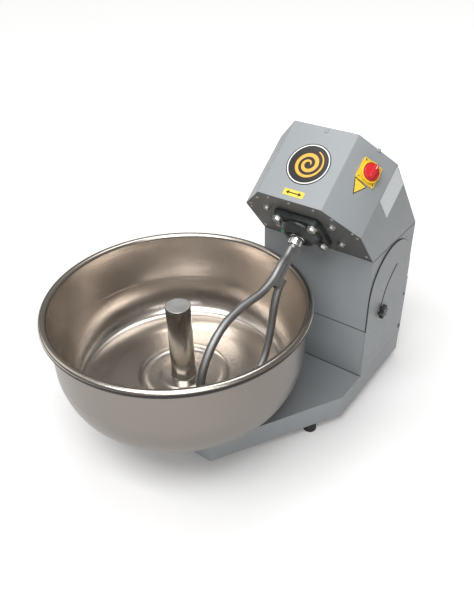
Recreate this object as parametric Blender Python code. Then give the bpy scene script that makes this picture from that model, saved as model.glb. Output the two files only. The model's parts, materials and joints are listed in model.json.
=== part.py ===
"""Tilting-head fork dough kneader: a round bowl turning on its own hub, and a two-tine fork
driven by a gear motor in a head that tilts back on a rear pivot and is clamped by a star knob.

Everything is modelled in the machine frame: x from the middle of the column, y from the bowl's
axis towards the rear, z from the top of the base. The last step moves that frame so that the
object's box is centred on the origin and stands on z = 0.
"""
import math

import bmesh
import bpy
from mathutils import Vector

# ---------------------------------------------------------------- driving dimensions (metres)
GAP = 0.0003             # between pieces that touch
RUN = 0.0006             # between sheets that slide past each other
SHEET = 0.002            # folded steel sheet

BASE_HEIGHT = 0.0515
FOOT_HEIGHT = 0.025
BASE_FRONT = -0.079
BASE_FRONT_HALF = 0.1275
BASE_WIDE_Y = 0.1907

HEAD_HALF = 0.1293       # cover and hood; the fixed side panels lie outside the hood
COLUMN_FRONT = 0.272
COLUMN_REAR = 0.4747
FRONT_SEAM = 0.1254      # lower front panel to tilting hood
HEAD_SEAM = 0.2995       # tilting hood to head cover
REAR_SEAM = 0.160        # rear panel to tilting hood

PANEL_ARC_Y = 0.372      # round top of the fixed side panels
PANEL_ARC_Z = 0.197
PANEL_ARC_R = 0.0985

PIVOT_Y = 0.450
PIVOT_Z = 0.130
PIVOT_R = 0.008
EAR_R = 0.020
EAR_CLEAR_R = 0.0425
TILT_RANGE = math.radians(54)

SLOT_R = 0.117           # stud's distance from the pivot
SLOT_REST = math.radians(8)
SLOT_HALF = 0.0032
STUD_R = 0.003

AXIS_TILT = math.radians(38.25)   # fork shaft below the horizontal
PLATE_TOP = 0.185        # along the plate, from its lower edge
PLATE_FOLD = 0.1096
PLATE_TOP_HALF = 0.0682
HEAD_LENGTH = 0.160
SHAFT_UP = 0.0850        # shaft centre above the plate's lower edge

PLATE_T = 0.006
SHAFT_R = 0.0106          # sleeve of the fork
JOURNAL_R = 0.0095        # shaft in its bearings
COLLAR_R = 0.0135
SLEEVE_TOP = 0.0460
SHAFT_OUT = 0.136
SHAFT_IN = 0.134
TINE_R = 0.008
TINE_TURN = math.radians(100)     # the tines' plane, round the shaft
WELD_TURN = math.radians(80)      # the front tine's weld sits a little nearer the front
WELD_ENDS = 0.115                 # along the shaft; from here the front tine swings into line
TINE_ALIGNED = 0.209

BOWL_X = -0.1485
RIM_R = 0.265
RIM_Z = 0.2602
BEAD_R = 0.008
BEAD_CLOSES = 0.0185      # the bead's end below the rim's top
BOWL_T = 0.002
FLOOR_DEPTH = 0.1936
WALL_R = 0.2486           # inside of the upright wall
CURVE_R = 0.2050          # where the floor starts to curve up
CURVE_RISE = 0.0890
CURVE_POWER = 1.135       # a little flatter than an ellipse
TROUGH = 0.0016           # the floor's outer edge below its middle
POST_R = 0.0255
POST_TOP = 0.2417
BEAM_HEIGHT = 0.045
BEAM_NOSE_R = 0.065
BEAM_RIGHT = -0.011
HUB_LIFT = 0.0095         # turning parts of the hub above the beam

MOTOR_DROP = 0.130       # motor axis below the fork shaft, along the plate
MOTOR_R = 0.055
DRIVEN_R = 0.072
DRIVE_R = 0.027
GROOVE = 0.0085
BOLT_HOLE_R = 0.0066
FLANGE_HALF = 0.0510
FLANGE_BOLT = 0.0385

SWITCH_DOWN = 0.0505     # from the top fold, on the right-hand chamfer
SWITCH_BACK = 0.1107     # from the cover's front edge
SWITCH_HALF = 0.0215

SWITCH_BORE = 0.0125

KNOB_T = 0.010
KNOB_R = 0.016
KNOB_LIFT = 0.0022        # knob above the side panel, on its washer
GLAND_OUT = 0.018
GLAND_X = -0.085
GLAND_Z = 0.040
REAR_PLAY = 0.0004        # hood inside the rear panel's face

# ---------------------------------------------------------------- places that follow from them
SIN = math.sin(AXIS_TILT)
COS = math.cos(AXIS_TILT)
SHAFT_Y = COLUMN_FRONT - SHAFT_UP * SIN
SHAFT_Z = HEAD_SEAM + SHAFT_UP * COS
PLATE_LOW_Y = SHAFT_UP
PLATE_FOLD_Y = SHAFT_UP - PLATE_FOLD
PLATE_TOP_Y = SHAFT_UP - PLATE_TOP
PANEL_OUT = HEAD_HALF + RUN + SHEET
PANEL_IN = PANEL_OUT - SHEET
HOOD_OUT = PANEL_IN - RUN
HOOD_IN = HOOD_OUT - SHEET
BRACKET_OUT = HOOD_IN - 0.0012
BRACKET_IN = BRACKET_OUT - 0.005
ARM_OUT = BRACKET_IN - 0.001
ARM_IN = ARM_OUT - 0.005
KNOB_FACE = PANEL_OUT + KNOB_LIFT + KNOB_T
STUD_Y = PIVOT_Y - SLOT_R * math.cos(SLOT_REST)
STUD_Z = PIVOT_Z + SLOT_R * math.sin(SLOT_REST)


# ---------------------------------------------------------------- modelling helpers
def clear_scene():
    for old in list(bpy.data.objects):
        bpy.data.objects.remove(old, do_unlink=True)


def material(name, color, roughness, metallic=0.0):
    made = bpy.data.materials.new(name)
    made.use_nodes = True
    shader = made.node_tree.nodes["Principled BSDF"]
    shader.inputs["Base Color"].default_value = (*color, 1.0)
    shader.inputs["Roughness"].default_value = roughness
    shader.inputs["Metallic"].default_value = metallic
    made.diffuse_color = (*color, 1.0)
    return made


def empty(name, location=(0, 0, 0), rotation=(0, 0, 0), parent=None):
    made = bpy.data.objects.new(name, None)
    bpy.context.scene.collection.objects.link(made)
    made.location = location
    made.rotation_euler = rotation
    made.parent = parent
    return made


def add_object(name, mesh, look, parent, smooth=0.0):
    made = bpy.data.objects.new(name, mesh)
    bpy.context.scene.collection.objects.link(made)
    made.parent = parent
    if look is not None:
        mesh.materials.append(look)
    if smooth:
        mesh.shade_smooth()
        mesh.set_sharp_from_angle(angle=math.radians(smooth))
    return made


def finish_mesh(name, bm):
    bmesh.ops.recalc_face_normals(bm, faces=bm.faces)
    mesh = bpy.data.meshes.new(name)
    bm.to_mesh(mesh)
    bm.free()
    return mesh


def in_plane(plane, a, b, along):
    """A point of an outline (a, b) at a height along the plane's normal."""
    if plane == "xy":
        return (a, b, along)
    if plane == "yz":
        return (along, a, b)
    return (a, along, b)


def prism(name, outline, low, high, look, parent, plane="xy", smooth=35.0):
    """An outline extruded between two heights along its plane's normal."""
    bm = bmesh.new()
    corners = [bm.verts.new(in_plane(plane, a, b, low)) for a, b in outline]
    face = bm.faces.new(corners)
    grown = bmesh.ops.extrude_face_region(bm, geom=[face])
    moved = [item for item in grown["geom"] if isinstance(item, bmesh.types.BMVert)]
    step = Vector(in_plane(plane, 0, 0, high - low))
    bmesh.ops.translate(bm, verts=moved, vec=step)
    return add_object(name, finish_mesh(name, bm), look, parent, smooth)


def turned(name, profile, look, parent, steps=32, closed=False, smooth=40.0):
    """A profile of (radius, z) points turned about the local z axis."""
    bm = bmesh.new()
    verts = [bm.verts.new((r, 0, z)) for r, z in profile]
    edges = [bm.edges.new(pair) for pair in zip(verts, verts[1:])]
    if closed:
        edges.append(bm.edges.new((verts[-1], verts[0])))
    bmesh.ops.spin(bm, geom=verts + edges, cent=(0, 0, 0), axis=(0, 0, 1),
                   angle=2 * math.pi, steps=steps, use_merge=True)
    bmesh.ops.remove_doubles(bm, verts=bm.verts, dist=1e-6)
    return add_object(name, finish_mesh(name, bm), look, parent, smooth)


def rod(name, radius, low, high, look, parent, steps=20):
    return turned(name, [(0, low), (radius, low), (radius, high), (0, high)], look, parent, steps)


def ring(name, inner, outer, low, high, look, parent, steps=28):
    profile = [(inner, low), (outer, low), (outer, high), (inner, high)]
    return turned(name, profile, look, parent, steps, closed=True)


def arc(center, radius, start, end, steps):
    """Points on a circle from one angle to another, both included (degrees)."""
    points = []
    for index in range(steps + 1):
        angle = math.radians(start + (end - start) * index / steps)
        points.append((center[0] + radius * math.cos(angle), center[1] + radius * math.sin(angle)))
    return points


def rectangle(low_a, low_b, high_a, high_b):
    return [(low_a, low_b), (high_a, low_b), (high_a, high_b), (low_a, high_b)]


def rounded(outline, radius, steps=3):
    """The outline with every corner replaced by an arc that touches both of its sides."""
    result = []
    count = len(outline)
    for index in range(count):
        here = Vector(outline[index])
        before = (Vector(outline[index - 1]) - here).normalized()
        after = (Vector(outline[(index + 1) % count]) - here).normalized()
        half = before.angle(after) / 2
        reach = radius / math.tan(half)
        middle = here + (before + after).normalized() * (radius / math.sin(half))
        first = here + before * reach - middle
        turn = first.angle_signed(here + after * reach - middle)
        for step in range(steps + 1):
            angle = -turn * step / steps
            spun = Vector((first.x * math.cos(angle) - first.y * math.sin(angle),
                           first.x * math.sin(angle) + first.y * math.cos(angle)))
            result.append(tuple(middle + spun))
    return result


def inset(outline, distance):
    """The outline moved inwards by a distance (points run counter-clockwise)."""
    result = []
    count = len(outline)
    for index in range(count):
        here = Vector(outline[index])
        before = (here - Vector(outline[index - 1])).normalized()
        after = (Vector(outline[(index + 1) % count]) - here).normalized()
        left_before = Vector((-before.y, before.x))
        left_after = Vector((-after.y, after.x))
        middle = (left_before + left_after).normalized()
        result.append(tuple(here + middle * (distance / middle.dot(left_before))))
    return result


def cutter(made):
    made.hide_render = True
    made.display_type = "WIRE"
    return made


def cut(target, tool):
    boolean = target.modifiers.new("cut", "BOOLEAN")
    boolean.operation = "DIFFERENCE"
    boolean.solver = "EXACT"
    boolean.object = cutter(tool)


def join(target, tool):
    boolean = target.modifiers.new("join", "BOOLEAN")
    boolean.operation = "UNION"
    boolean.solver = "EXACT"
    boolean.object = cutter(tool)


def along_x(made, x=0.0, y=0.0, z=0.0):
    """Lays a turned piece on its side: its local z axis points along +X."""
    made.rotation_euler = (0, math.radians(90), 0)
    made.location = (x, y, z)
    return made


# ---------------------------------------------------------------- base
def base_outline():
    return [
        (BOWL_X - BASE_FRONT_HALF, BASE_FRONT),
        (BOWL_X + BASE_FRONT_HALF, BASE_FRONT),
        (PANEL_OUT, BASE_WIDE_Y),
        (PANEL_OUT, COLUMN_REAR),
        (-PANEL_OUT, COLUMN_REAR),
        (-PANEL_OUT, 0.310),
        (BOWL_X - BASE_FRONT_HALF, BASE_WIDE_Y),
    ]


def build_base(frame, looks):
    pan = prism("base_pan", rounded(base_outline(), 0.004), -BASE_HEIGHT, 0, looks["paint"], frame)
    inner = rounded(inset(base_outline(), SHEET), 0.0025)
    hollow = prism("base_hollow", inner, -BASE_HEIGHT - 0.01, -SHEET, None, frame)
    cut(pan, hollow)
    lid = inset(base_outline(), SHEET + 0.003)
    plate_top = -BASE_HEIGHT + 0.0045
    prism("bottom_plate", lid, -BASE_HEIGHT + 0.0015, plate_top, looks["paint_dark"], frame)
    places = [(0.084, 0.138), (-0.231, 0.138), (-0.085, -0.022), (-0.212, -0.022),
              (0.074, 0.425), (-0.074, 0.425)]
    profile = [(0, 0), (0.0130, 0), (0.0150, 0.0025), (0.0132, 0.020), (0.0120, FOOT_HEIGHT),
               (0.0070, FOOT_HEIGHT), (0.0070, FOOT_HEIGHT + 0.0012), (0, FOOT_HEIGHT + 0.0012)]
    for index, (x, y) in enumerate(places):
        foot = turned(f"foot_{index + 1}", profile, looks["rubber"], frame, 14)
        foot.location = (x, y, -BASE_HEIGHT - FOOT_HEIGHT)


# ---------------------------------------------------------------- fixed column
def side_panel_outline():
    front_edge = PANEL_ARC_Y - PANEL_ARC_R
    rear_edge = PANEL_ARC_Y + PANEL_ARC_R
    points = [(COLUMN_FRONT, GAP), (COLUMN_REAR, GAP), (COLUMN_REAR, REAR_SEAM),
              (rear_edge, REAR_SEAM)]
    points += arc((PANEL_ARC_Y, PANEL_ARC_Z), PANEL_ARC_R, 0, 180, 24)
    points += [(front_edge, FRONT_SEAM), (COLUMN_FRONT, FRONT_SEAM)]
    return points


def slot_outline():
    """The stud's path about the pivot, with round ends; angles are measured in the y-z plane."""
    spare = 0.3
    first = 180 - math.degrees(SLOT_REST) + spare
    last = first - math.degrees(TILT_RANGE) - 2 * spare
    pivot = (PIVOT_Y, PIVOT_Z)
    start = arc(pivot, SLOT_R, first, first, 1)[0]
    end = arc(pivot, SLOT_R, last, last, 1)[0]
    points = arc(pivot, SLOT_R + SLOT_HALF, first, last, 14)
    points += arc(end, SLOT_HALF, last, last - 180, 6)[1:-1]
    points += arc(pivot, SLOT_R - SLOT_HALF, last, first, 14)
    points += arc(start, SLOT_HALF, first + 180, first, 6)[1:-1]
    return points


def channel(low_y, high_y, depth, half):
    """A panel across the column with a short flange on each side, seen from above."""
    inner = half - SHEET
    face = low_y + SHEET if depth > 0 else high_y - SHEET
    outer = low_y if depth > 0 else high_y
    end = outer + depth
    return [(-half, outer), (half, outer), (half, end), (inner, end), (inner, face),
            (-inner, face), (-inner, end), (-half, end)]


def build_column(frame, looks):
    right = prism("right_side_panel", side_panel_outline(), PANEL_IN, PANEL_OUT, looks["paint"],
                  frame, "yz")
    slot = prism("slot_cutter", slot_outline(), PANEL_IN - 0.01, PANEL_OUT + 0.01, None, frame,
                 "yz")
    cut(right, slot)
    prism("left_side_panel", side_panel_outline(), -PANEL_OUT, -PANEL_IN, looks["paint"], frame,
          "yz")

    half = PANEL_IN - GAP
    lower = channel(COLUMN_FRONT, COLUMN_FRONT + SHEET, 0.016, half)
    prism("lower_front_panel", lower, GAP, FRONT_SEAM - RUN, looks["paint"], frame)

    rear = prism("rear_panel", channel(COLUMN_REAR - SHEET, COLUMN_REAR, -0.004, half), GAP,
                 REAR_SEAM - RUN, looks["paint"], frame)
    for row in range(5):
        z = 0.075 + 0.014 * row
        slit = rounded(rectangle(-0.055, z, 0.055, z + 0.005), 0.0024)
        tool = prism(f"louvre_cutter_{row + 1}", slit, COLUMN_REAR - 0.01, COLUMN_REAR + 0.01,
                     None, frame, "xz")
        cut(rear, tool)
    gland_hole = rod("gland_hole", 0.0085, -0.02, 0.02, None, frame)
    gland_hole.rotation_euler = (math.radians(-90), 0, 0)
    gland_hole.location = (GLAND_X, COLUMN_REAR, GLAND_Z)
    cut(rear, gland_hole)
    profile = [(0, -0.012), (0.0080, -0.012), (0.0080, 0.0005), (0.0120, 0.0005),
               (0.0120, 0.0070), (0.0095, 0.0085), (0.0085, GLAND_OUT), (0.0045, GLAND_OUT),
               (0.0045, 0.004), (0, 0.004)]
    gland = turned("cable_gland", profile, looks["black"], frame, 20)
    gland.rotation_euler = (math.radians(-90), 0, 0)
    gland.location = (GLAND_X, COLUMN_REAR, GLAND_Z)


def bracket_outline():
    ear = arc((PIVOT_Y, PIVOT_Z), EAR_R, 20, 170, 10)
    foot = [(PIVOT_Y - 0.095, GAP), (PIVOT_Y + 0.018, GAP)]
    return foot + ear


def build_pivot(frame, looks):
    for side, name in ((-1, "pivot_bracket_left"), (1, "pivot_bracket_right")):
        low, high = sorted((side * BRACKET_IN, side * BRACKET_OUT))
        bracket = prism(name, bracket_outline(), low, high, looks["steel"], frame, "yz")
        bore = along_x(rod(name + "_bore", PIVOT_R + GAP, -0.02, 0.02, None, frame, 24),
                       side * BRACKET_IN, PIVOT_Y, PIVOT_Z)
        cut(bracket, bore)
    reach = HOOD_OUT - GAP
    shaft = rod("pivot_shaft", PIVOT_R, -reach, reach, looks["steel"], frame, 24)
    along_x(shaft, 0, PIVOT_Y, PIVOT_Z)
    behind = COLUMN_FRONT + SHEET + GAP
    bar_half = PANEL_IN - SHEET - 2 * GAP
    bar = rectangle(behind, 0.100, behind + 0.018, FRONT_SEAM - RUN - 3 * GAP)
    prism("rest_bar", bar, -bar_half, bar_half, looks["steel"], frame, "yz")


# ---------------------------------------------------------------- bowl and its hub
def beam_outline():
    """The beam under the bowl: round at the hub, and widening back to the column."""
    rear = COLUMN_FRONT - GAP
    nose = arc((BOWL_X, 0), BEAM_NOSE_R, 180, 360, 10)
    right = [(BEAM_RIGHT - 0.008, rear - 0.024), (BEAM_RIGHT, rear - 0.016), (BEAM_RIGHT, rear)]
    return nose + right + [(-PANEL_IN, rear)]


def build_hub(frame, bowl_axis, looks):
    beam = prism("bowl_beam", beam_outline(), GAP, BEAM_HEIGHT, looks["paint"], frame)
    hollow = prism("beam_hollow", inset(beam_outline(), SHEET), -0.01, BEAM_HEIGHT - SHEET, None,
                   frame)
    cut(beam, hollow)
    hole = rod("beam_hole", 0.0305, 0, 0.06, None, bowl_axis, 20)
    cut(beam, hole)
    profile = [(0.0155, 0.006), (0.0300, 0.006), (0.0300, BEAM_HEIGHT + GAP),
               (0.0450, BEAM_HEIGHT + GAP), (0.0450, BEAM_HEIGHT + 0.005),
               (0.0300, BEAM_HEIGHT + 0.0085), (0.0155, BEAM_HEIGHT + 0.0085)]
    turned("bowl_bearing", profile, looks["cast"], bowl_axis, 20, closed=True)


def bowl_inner_profile():
    """Inside of the bowl from its middle to under the rim bead: rings, curve and upright wall."""
    floor = RIM_Z - FLOOR_DEPTH
    rings = [(0.000, 0.0), (0.046, 0.0), (0.055, -0.0022), (0.078, -0.0016), (0.086, 0.0012),
             (0.095, -0.0018), (0.150, 0.0), (0.176, -TROUGH)]
    points = [(r, floor + z) for r, z in rings]
    steps = 8
    for step in range(steps + 1):
        angle = math.radians(90 * step / steps)
        out = (WALL_R - CURVE_R) * math.sin(angle) ** CURVE_POWER
        up = CURVE_RISE * (1 - math.cos(angle) ** CURVE_POWER)
        points.append((CURVE_R + out, floor - TROUGH + up))
    return points + [(WALL_R, RIM_Z - BEAD_CLOSES)]


def offset_outwards(points, distance):
    """An open profile moved to its right-hand side, which is under and outside of the bowl."""
    result = []
    for index, point in enumerate(points):
        here = Vector(point)
        before = here - Vector(points[max(index - 1, 0)])
        after = Vector(points[min(index + 1, len(points) - 1)]) - here
        along = before.normalized() + after.normalized()
        along.normalize()
        result.append((point[0] + along.y * distance, point[1] - along.x * distance))
    result[0] = (0, result[0][1])
    return result


def build_bowl(bowl_axis, looks):
    inner = bowl_inner_profile()
    outer = offset_outwards(inner, BOWL_T)
    bead_center = (RIM_R - BEAD_R, RIM_Z - BEAD_R)
    bead = arc(bead_center, BEAD_R, 190, -110, 8)
    turned("bowl", inner + bead + outer[::-1], looks["stainless"], bowl_axis, 40)
    floor = RIM_Z - FLOOR_DEPTH + GAP
    wall = 0.003
    profile = [(0, POST_TOP - wall), (POST_R - wall, POST_TOP - wall), (POST_R - wall, floor),
               (POST_R + 0.0015, floor), (POST_R, floor + 0.0020),
               (POST_R, POST_TOP - 0.0010), (POST_R - 0.0010, POST_TOP),
               (0, POST_TOP)]
    turned("centre_post", profile, looks["stainless"], bowl_axis, 20)
    under = outer[0][1] - GAP
    low = BEAM_HEIGHT + HUB_LIFT
    flange = [(0.0080, low), (0.0600, low), (0.0600, under - 0.0040), (0.0420, under - 0.0030),
              (0.0380, under), (0.0080, under)]
    turned("bowl_hub_flange", flange, looks["steel"], bowl_axis, 20, closed=True)
    shoulder = low - 0.0005
    spindle = [(0, 0.004), (0.0150, 0.004), (0.0150, shoulder), (0.0077, shoulder),
               (0.0077, under), (0, under)]
    turned("bowl_spindle", spindle, looks["steel"], bowl_axis, 16)


# ---------------------------------------------------------------- tilting head: sheet metal
def head_outline(low):
    """The head's cross-section seen along the shaft, counter-clockwise, local y pointing down."""
    half = HEAD_HALF
    return [(half, low), (-half, low), (-half, PLATE_FOLD_Y), (-PLATE_TOP_HALF, PLATE_TOP_Y),
            (PLATE_TOP_HALF, PLATE_TOP_Y), (half, PLATE_FOLD_Y)]


def build_head_cover(drive_frame, hood_frame, looks):
    outline = head_outline(0.30)[::-1]
    outline = outline if signed_area(outline) > 0 else outline[::-1]
    cover = prism("head_cover", rounded(outline, 0.004), 0, HEAD_LENGTH, looks["paint"],
                  drive_frame)
    hollow = prism("cover_hollow", rounded(inset(outline, SHEET), 0.0025), -0.02,
                   HEAD_LENGTH - SHEET, None, drive_frame)
    cut(cover, hollow)
    below = rectangle(-0.1, -0.3, 0.9, HEAD_SEAM + GAP)
    trim = prism("cover_trim", below, -0.3, 0.3, None, hood_frame, "yz")
    cut(cover, trim)


def signed_area(outline):
    total = 0.0
    for (x0, y0), (x1, y1) in zip(outline, outline[1:] + outline[:1]):
        total += x0 * y1 - x1 * y0
    return total / 2


def flange_spots():
    return [(x, y) for x in (-FLANGE_BOLT, FLANGE_BOLT) for y in (-FLANGE_BOLT, FLANGE_BOLT)]


def bolt_hole(target, name, spot, frame):
    hole = rod(name, BOLT_HOLE_R, -0.03, 0.03, None, frame, 12)
    hole.location = (spot[0], spot[1], 0)
    cut(target, hole)


def build_front_plate(drive_frame, looks):
    outline = head_outline(PLATE_LOW_Y)[::-1]
    outline = outline if signed_area(outline) > 0 else outline[::-1]
    plate = prism("front_plate", inset(outline, SHEET + 0.0005), 0.0005, PLATE_T,
                  looks["paint_dark"], drive_frame)
    bore = rod("plate_bore", 0.020, -0.02, 0.02, None, drive_frame, 28)
    cut(plate, bore)
    for index, spot in enumerate(flange_spots()):
        bolt_hole(plate, f"plate_hole_{index + 1}", spot, drive_frame)


def ear_outline(steps):
    """The round ear about the pivot, and the point where the edge leaves it: further out it has
    to stay in front of the rear panel's top edge at the end of the tilt."""
    pivot = (PIVOT_Y, PIVOT_Z)
    return arc(pivot, EAR_R, 230, 460, steps) + arc(pivot, EAR_CLEAR_R, 112, 112, 1)[:1]


def hood_side_outline():
    """Side of the tilting hood, in y and z: cut back round the pivot so that it clears the
    rear panel all the way up."""
    front = COLUMN_FRONT
    rear = COLUMN_REAR - REAR_PLAY
    top = HEAD_SEAM - GAP
    points = [(front, FRONT_SEAM + RUN), (PIVOT_Y - 0.035, FRONT_SEAM + RUN)]
    points += ear_outline(14)
    points += arc((PIVOT_Y, PIVOT_Z), EAR_CLEAR_R, 104, 60, 5)
    points += [(rear, REAR_SEAM + 0.0055), (rear, top), (front, top)]
    return points


def build_hood(hood_frame, looks):
    hood = prism("tilting_hood", hood_side_outline(), -HOOD_OUT, HOOD_OUT, looks["paint"],
                 hood_frame, "yz")
    inner = rectangle(COLUMN_FRONT + SHEET, 0.05, COLUMN_REAR - REAR_PLAY - SHEET, 0.40)
    hollow = prism("hood_hollow", inner, -HOOD_IN, HOOD_IN, None, hood_frame, "yz")
    cut(hood, hollow)
    bore = along_x(rod("hood_bore", PIVOT_R + GAP, -0.3, 0.3, None, hood_frame, 24),
                   0, PIVOT_Y, PIVOT_Z)
    cut(hood, bore)
    stud_hole = along_x(rod("hood_stud_hole", STUD_R + GAP, 0, 0.05, None, hood_frame, 16),
                        HOOD_IN - 0.01, STUD_Y, STUD_Z)
    cut(hood, stud_hole)


def tilt_arm_outline():
    front = COLUMN_FRONT + SHEET + RUN
    back_face = PLATE_T + GAP

    def behind_plate(up, back):
        along = back_face + back
        return (COLUMN_FRONT + along * COS - up * SIN, HEAD_SEAM + along * SIN + up * COS)

    points = [(front, FRONT_SEAM - 0.0012), (PIVOT_Y - 0.040, FRONT_SEAM - 0.0012)]
    points += ear_outline(12)
    points += [behind_plate(0.050, 0.060), behind_plate(0.095, 0.030), behind_plate(0.095, 0),
               behind_plate(0, 0), (front, HEAD_SEAM - 0.020)]
    return points


def build_tilt_arms(hood_frame, looks):
    for side, name in ((-1, "tilt_arm_left"), (1, "tilt_arm_right")):
        low, high = sorted((side * ARM_IN, side * ARM_OUT))
        arm = prism(name, tilt_arm_outline(), low, high, looks["steel"], hood_frame, "yz")
        bore = along_x(rod(name + "_bore", PIVOT_R + GAP, -0.02, 0.02, None, hood_frame, 24),
                       side * ARM_IN, PIVOT_Y, PIVOT_Z)
        cut(arm, bore)
        if side > 0:
            hole = along_x(rod("arm_stud_hole", STUD_R + GAP, -0.02, 0.02, None, hood_frame, 16),
                           ARM_IN, STUD_Y, STUD_Z)
            cut(arm, hole)


# ---------------------------------------------------------------- fork drive
def build_flange_bearing(drive_frame, looks):
    half = FLANGE_HALF
    housing = prism("flange_bearing", rounded(rectangle(-half, -half, half, half), 0.012, 4),
                    -0.0130, -GAP, looks["cast"], drive_frame)
    boss = [(0, -0.006), (0.0410, -0.006), (0.0385, -0.0210), (0.0320, -0.0290),
            (0.0250, -0.0300), (0.0250, -0.0270), (0, -0.0270)]
    join(housing, turned("bearing_boss", boss, None, drive_frame, 28))
    cut(housing, rod("bearing_bore", 0.0168, -0.05, 0.02, None, drive_frame, 24))
    for index, spot in enumerate(flange_spots()):
        bolt_hole(housing, f"flange_hole_{index + 1}", spot, drive_frame)
        build_hex_bolt(f"flange_bolt_{index + 1}", spot, -0.0130, drive_frame, looks["zinc"])
    nipple = [(0, 0), (0.0030, 0), (0.0030, 0.004), (0.0040, 0.004), (0.0040, 0.0105),
              (0.0025, 0.0125), (0, 0.0125)]
    made = turned("grease_nipple", nipple, looks["green"], drive_frame, 16)
    lean = math.radians(20)
    reach = 0.0403
    made.rotation_euler = (0, math.radians(-90), -lean)
    made.location = (-reach * math.cos(lean), reach * math.sin(lean), -0.0185)


def build_hex_bolt(name, spot, face, frame, look):
    """A hexagon head standing on a face that looks along -z, with its shank behind it."""
    head_r = 0.0092
    head_h = 0.0072
    shank_half = 0.0050
    bm = bmesh.new()
    head = arc((0, 0), head_r, 0, 360, 6)[:-1]
    low = face - GAP - head_h
    bottom = bm.faces.new([bm.verts.new((a, b, low)) for a, b in head])
    grown = bmesh.ops.extrude_face_region(bm, geom=[bottom])
    verts = [item for item in grown["geom"] if isinstance(item, bmesh.types.BMVert)]
    faces = [item for item in grown["geom"] if isinstance(item, bmesh.types.BMFace)]
    bmesh.ops.translate(bm, verts=verts, vec=(0, 0, head_h))
    across = head_r * math.cos(math.radians(30))
    bmesh.ops.inset_region(bm, faces=faces, thickness=across - shank_half)
    shank = bmesh.ops.extrude_face_region(bm, geom=faces)
    verts = [item for item in shank["geom"] if isinstance(item, bmesh.types.BMVert)]
    bmesh.ops.translate(bm, verts=verts, vec=(0, 0, 0.023))
    bmesh.ops.delete(bm, geom=faces, context="FACES_ONLY")
    made = add_object(name, finish_mesh(name, bm), look, frame)
    made.location = (spot[0], spot[1], 0)
    return made


def build_bearing_bridge(drive_frame, looks):
    """A strap over the belt drive that carries the shaft's rear bearing."""
    foot = PLATE_T + GAP
    top = 0.124
    wall = 0.005
    right = [(0.060, foot), (0.085, foot), (0.085, top)]
    inner = [(0.080, top - wall), (0.080, foot + wall), (0.060, foot + wall)]
    outline = right + [(-x, z) for x, z in right[::-1]] + [(-x, z) for x, z in inner[::-1]] + inner
    bridge = prism("bearing_bridge", outline, -0.042, 0.048, looks["steel"], drive_frame, "xz")
    notch = rectangle(-0.2, 0.080, 0.2, 0.2)
    cut(bridge, prism("bridge_notch", notch, -0.1, -0.030, None, drive_frame, "xz"))
    cut(bridge, rod("bridge_bore", 0.0266, 0.1, 0.15, None, drive_frame, 20))
    bore = JOURNAL_R + GAP
    profile = [(bore, 0.112), (0.0260, 0.112), (0.0260, 0.1245), (0.0320, 0.1245),
               (0.0320, 0.1305), (bore, 0.1305)]
    turned("rear_bearing", profile, looks["cast"], drive_frame, 20, closed=True)


def pulley_profile(bore, rim, width):
    half = width / 2
    lip = half - 0.002
    return [(bore, -half), (rim, -half), (rim, -lip), (rim - GROOVE, -lip + 0.0025),
            (rim - GROOVE, lip - 0.0025), (rim, lip), (rim, half), (bore, half)]


def belt_outline(inset_r):
    """The belt's loop about both pulleys: two arcs and the straight runs that touch them."""
    big = DRIVEN_R - inset_r
    small = DRIVE_R - inset_r
    lean = math.degrees(math.asin((big - small) / MOTOR_DROP))
    upper = arc((0, 0), big, 180 - lean, 360 + lean, 22)
    lower = arc((0, MOTOR_DROP), small, lean, 180 - lean, 9)
    return upper + lower


def build_fork_drive(drive_frame, fork_axis, motor_axis, looks):
    belt_mid = 0.034
    width = 0.018
    driven = turned("driven_pulley", pulley_profile(JOURNAL_R + GAP, DRIVEN_R, width),
                    looks["cast"], fork_axis, 28, closed=True)
    driven.location = (0, 0, belt_mid)
    drive = turned("drive_pulley", pulley_profile(0.0073, DRIVE_R, width), looks["cast"],
                   motor_axis, 18, closed=True)
    drive.location = (0, 0, belt_mid)
    outer = belt_outline(0.0008)
    belt = prism("drive_belt", outer, belt_mid - 0.0042, belt_mid + 0.0042, looks["rubber"],
                 drive_frame)
    hole = prism("belt_hole", belt_outline(GROOVE - 0.0008), belt_mid - 0.02, belt_mid + 0.02,
                 None, drive_frame)
    cut(belt, hole)

    bracket = rounded(rectangle(-ARM_IN + GAP, 0.078, ARM_IN - GAP, 0.192), 0.006)
    mount = prism("motor_bracket", bracket, 0.048, 0.053, looks["steel"], drive_frame)
    cut(mount, rod("motor_bracket_bore", 0.020, 0, 0.1, None, motor_axis, 24))
    gear_case = [(0.0076, 0.0533), (0.0440, 0.0533), (0.0480, 0.058), (0.0480, 0.078),
                 (0.0076, 0.078)]
    turned("gear_case", gear_case, looks["alloy"], motor_axis, 20, closed=True)
    build_motor(motor_axis, looks)
    rod("motor_output_shaft", 0.007, belt_mid - 0.011, 0.096, looks["steel"], motor_axis, 16)


def build_motor(motor_axis, looks):
    start = 0.0783
    end = 0.138
    profile = [(0, 0.100), (0.0076, 0.100), (0.0076, start), (MOTOR_R, start)]
    for groove in range(4):
        z = start + 0.008 + groove * 0.012
        profile += [(MOTOR_R, z), (MOTOR_R - 0.004, z + 0.001), (MOTOR_R - 0.004, z + 0.006),
                    (MOTOR_R, z + 0.007)]
    profile += [(MOTOR_R, end), (0, end)]
    turned("motor_body", profile, looks["alloy"], motor_axis, 20)
    cap = [(0, end + GAP), (MOTOR_R + 0.001, end + GAP), (MOTOR_R + 0.001, end + 0.008),
           (MOTOR_R - 0.006, end + 0.016), (0, end + 0.016)]
    turned("motor_fan_cover", cap, looks["black"], motor_axis, 20)
    box = rounded(rectangle(MOTOR_R + 0.0005, -0.026, MOTOR_R + 0.030, 0.026), 0.004)
    prism("terminal_box", box, 0.086, 0.126, looks["black"], motor_axis)


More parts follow.
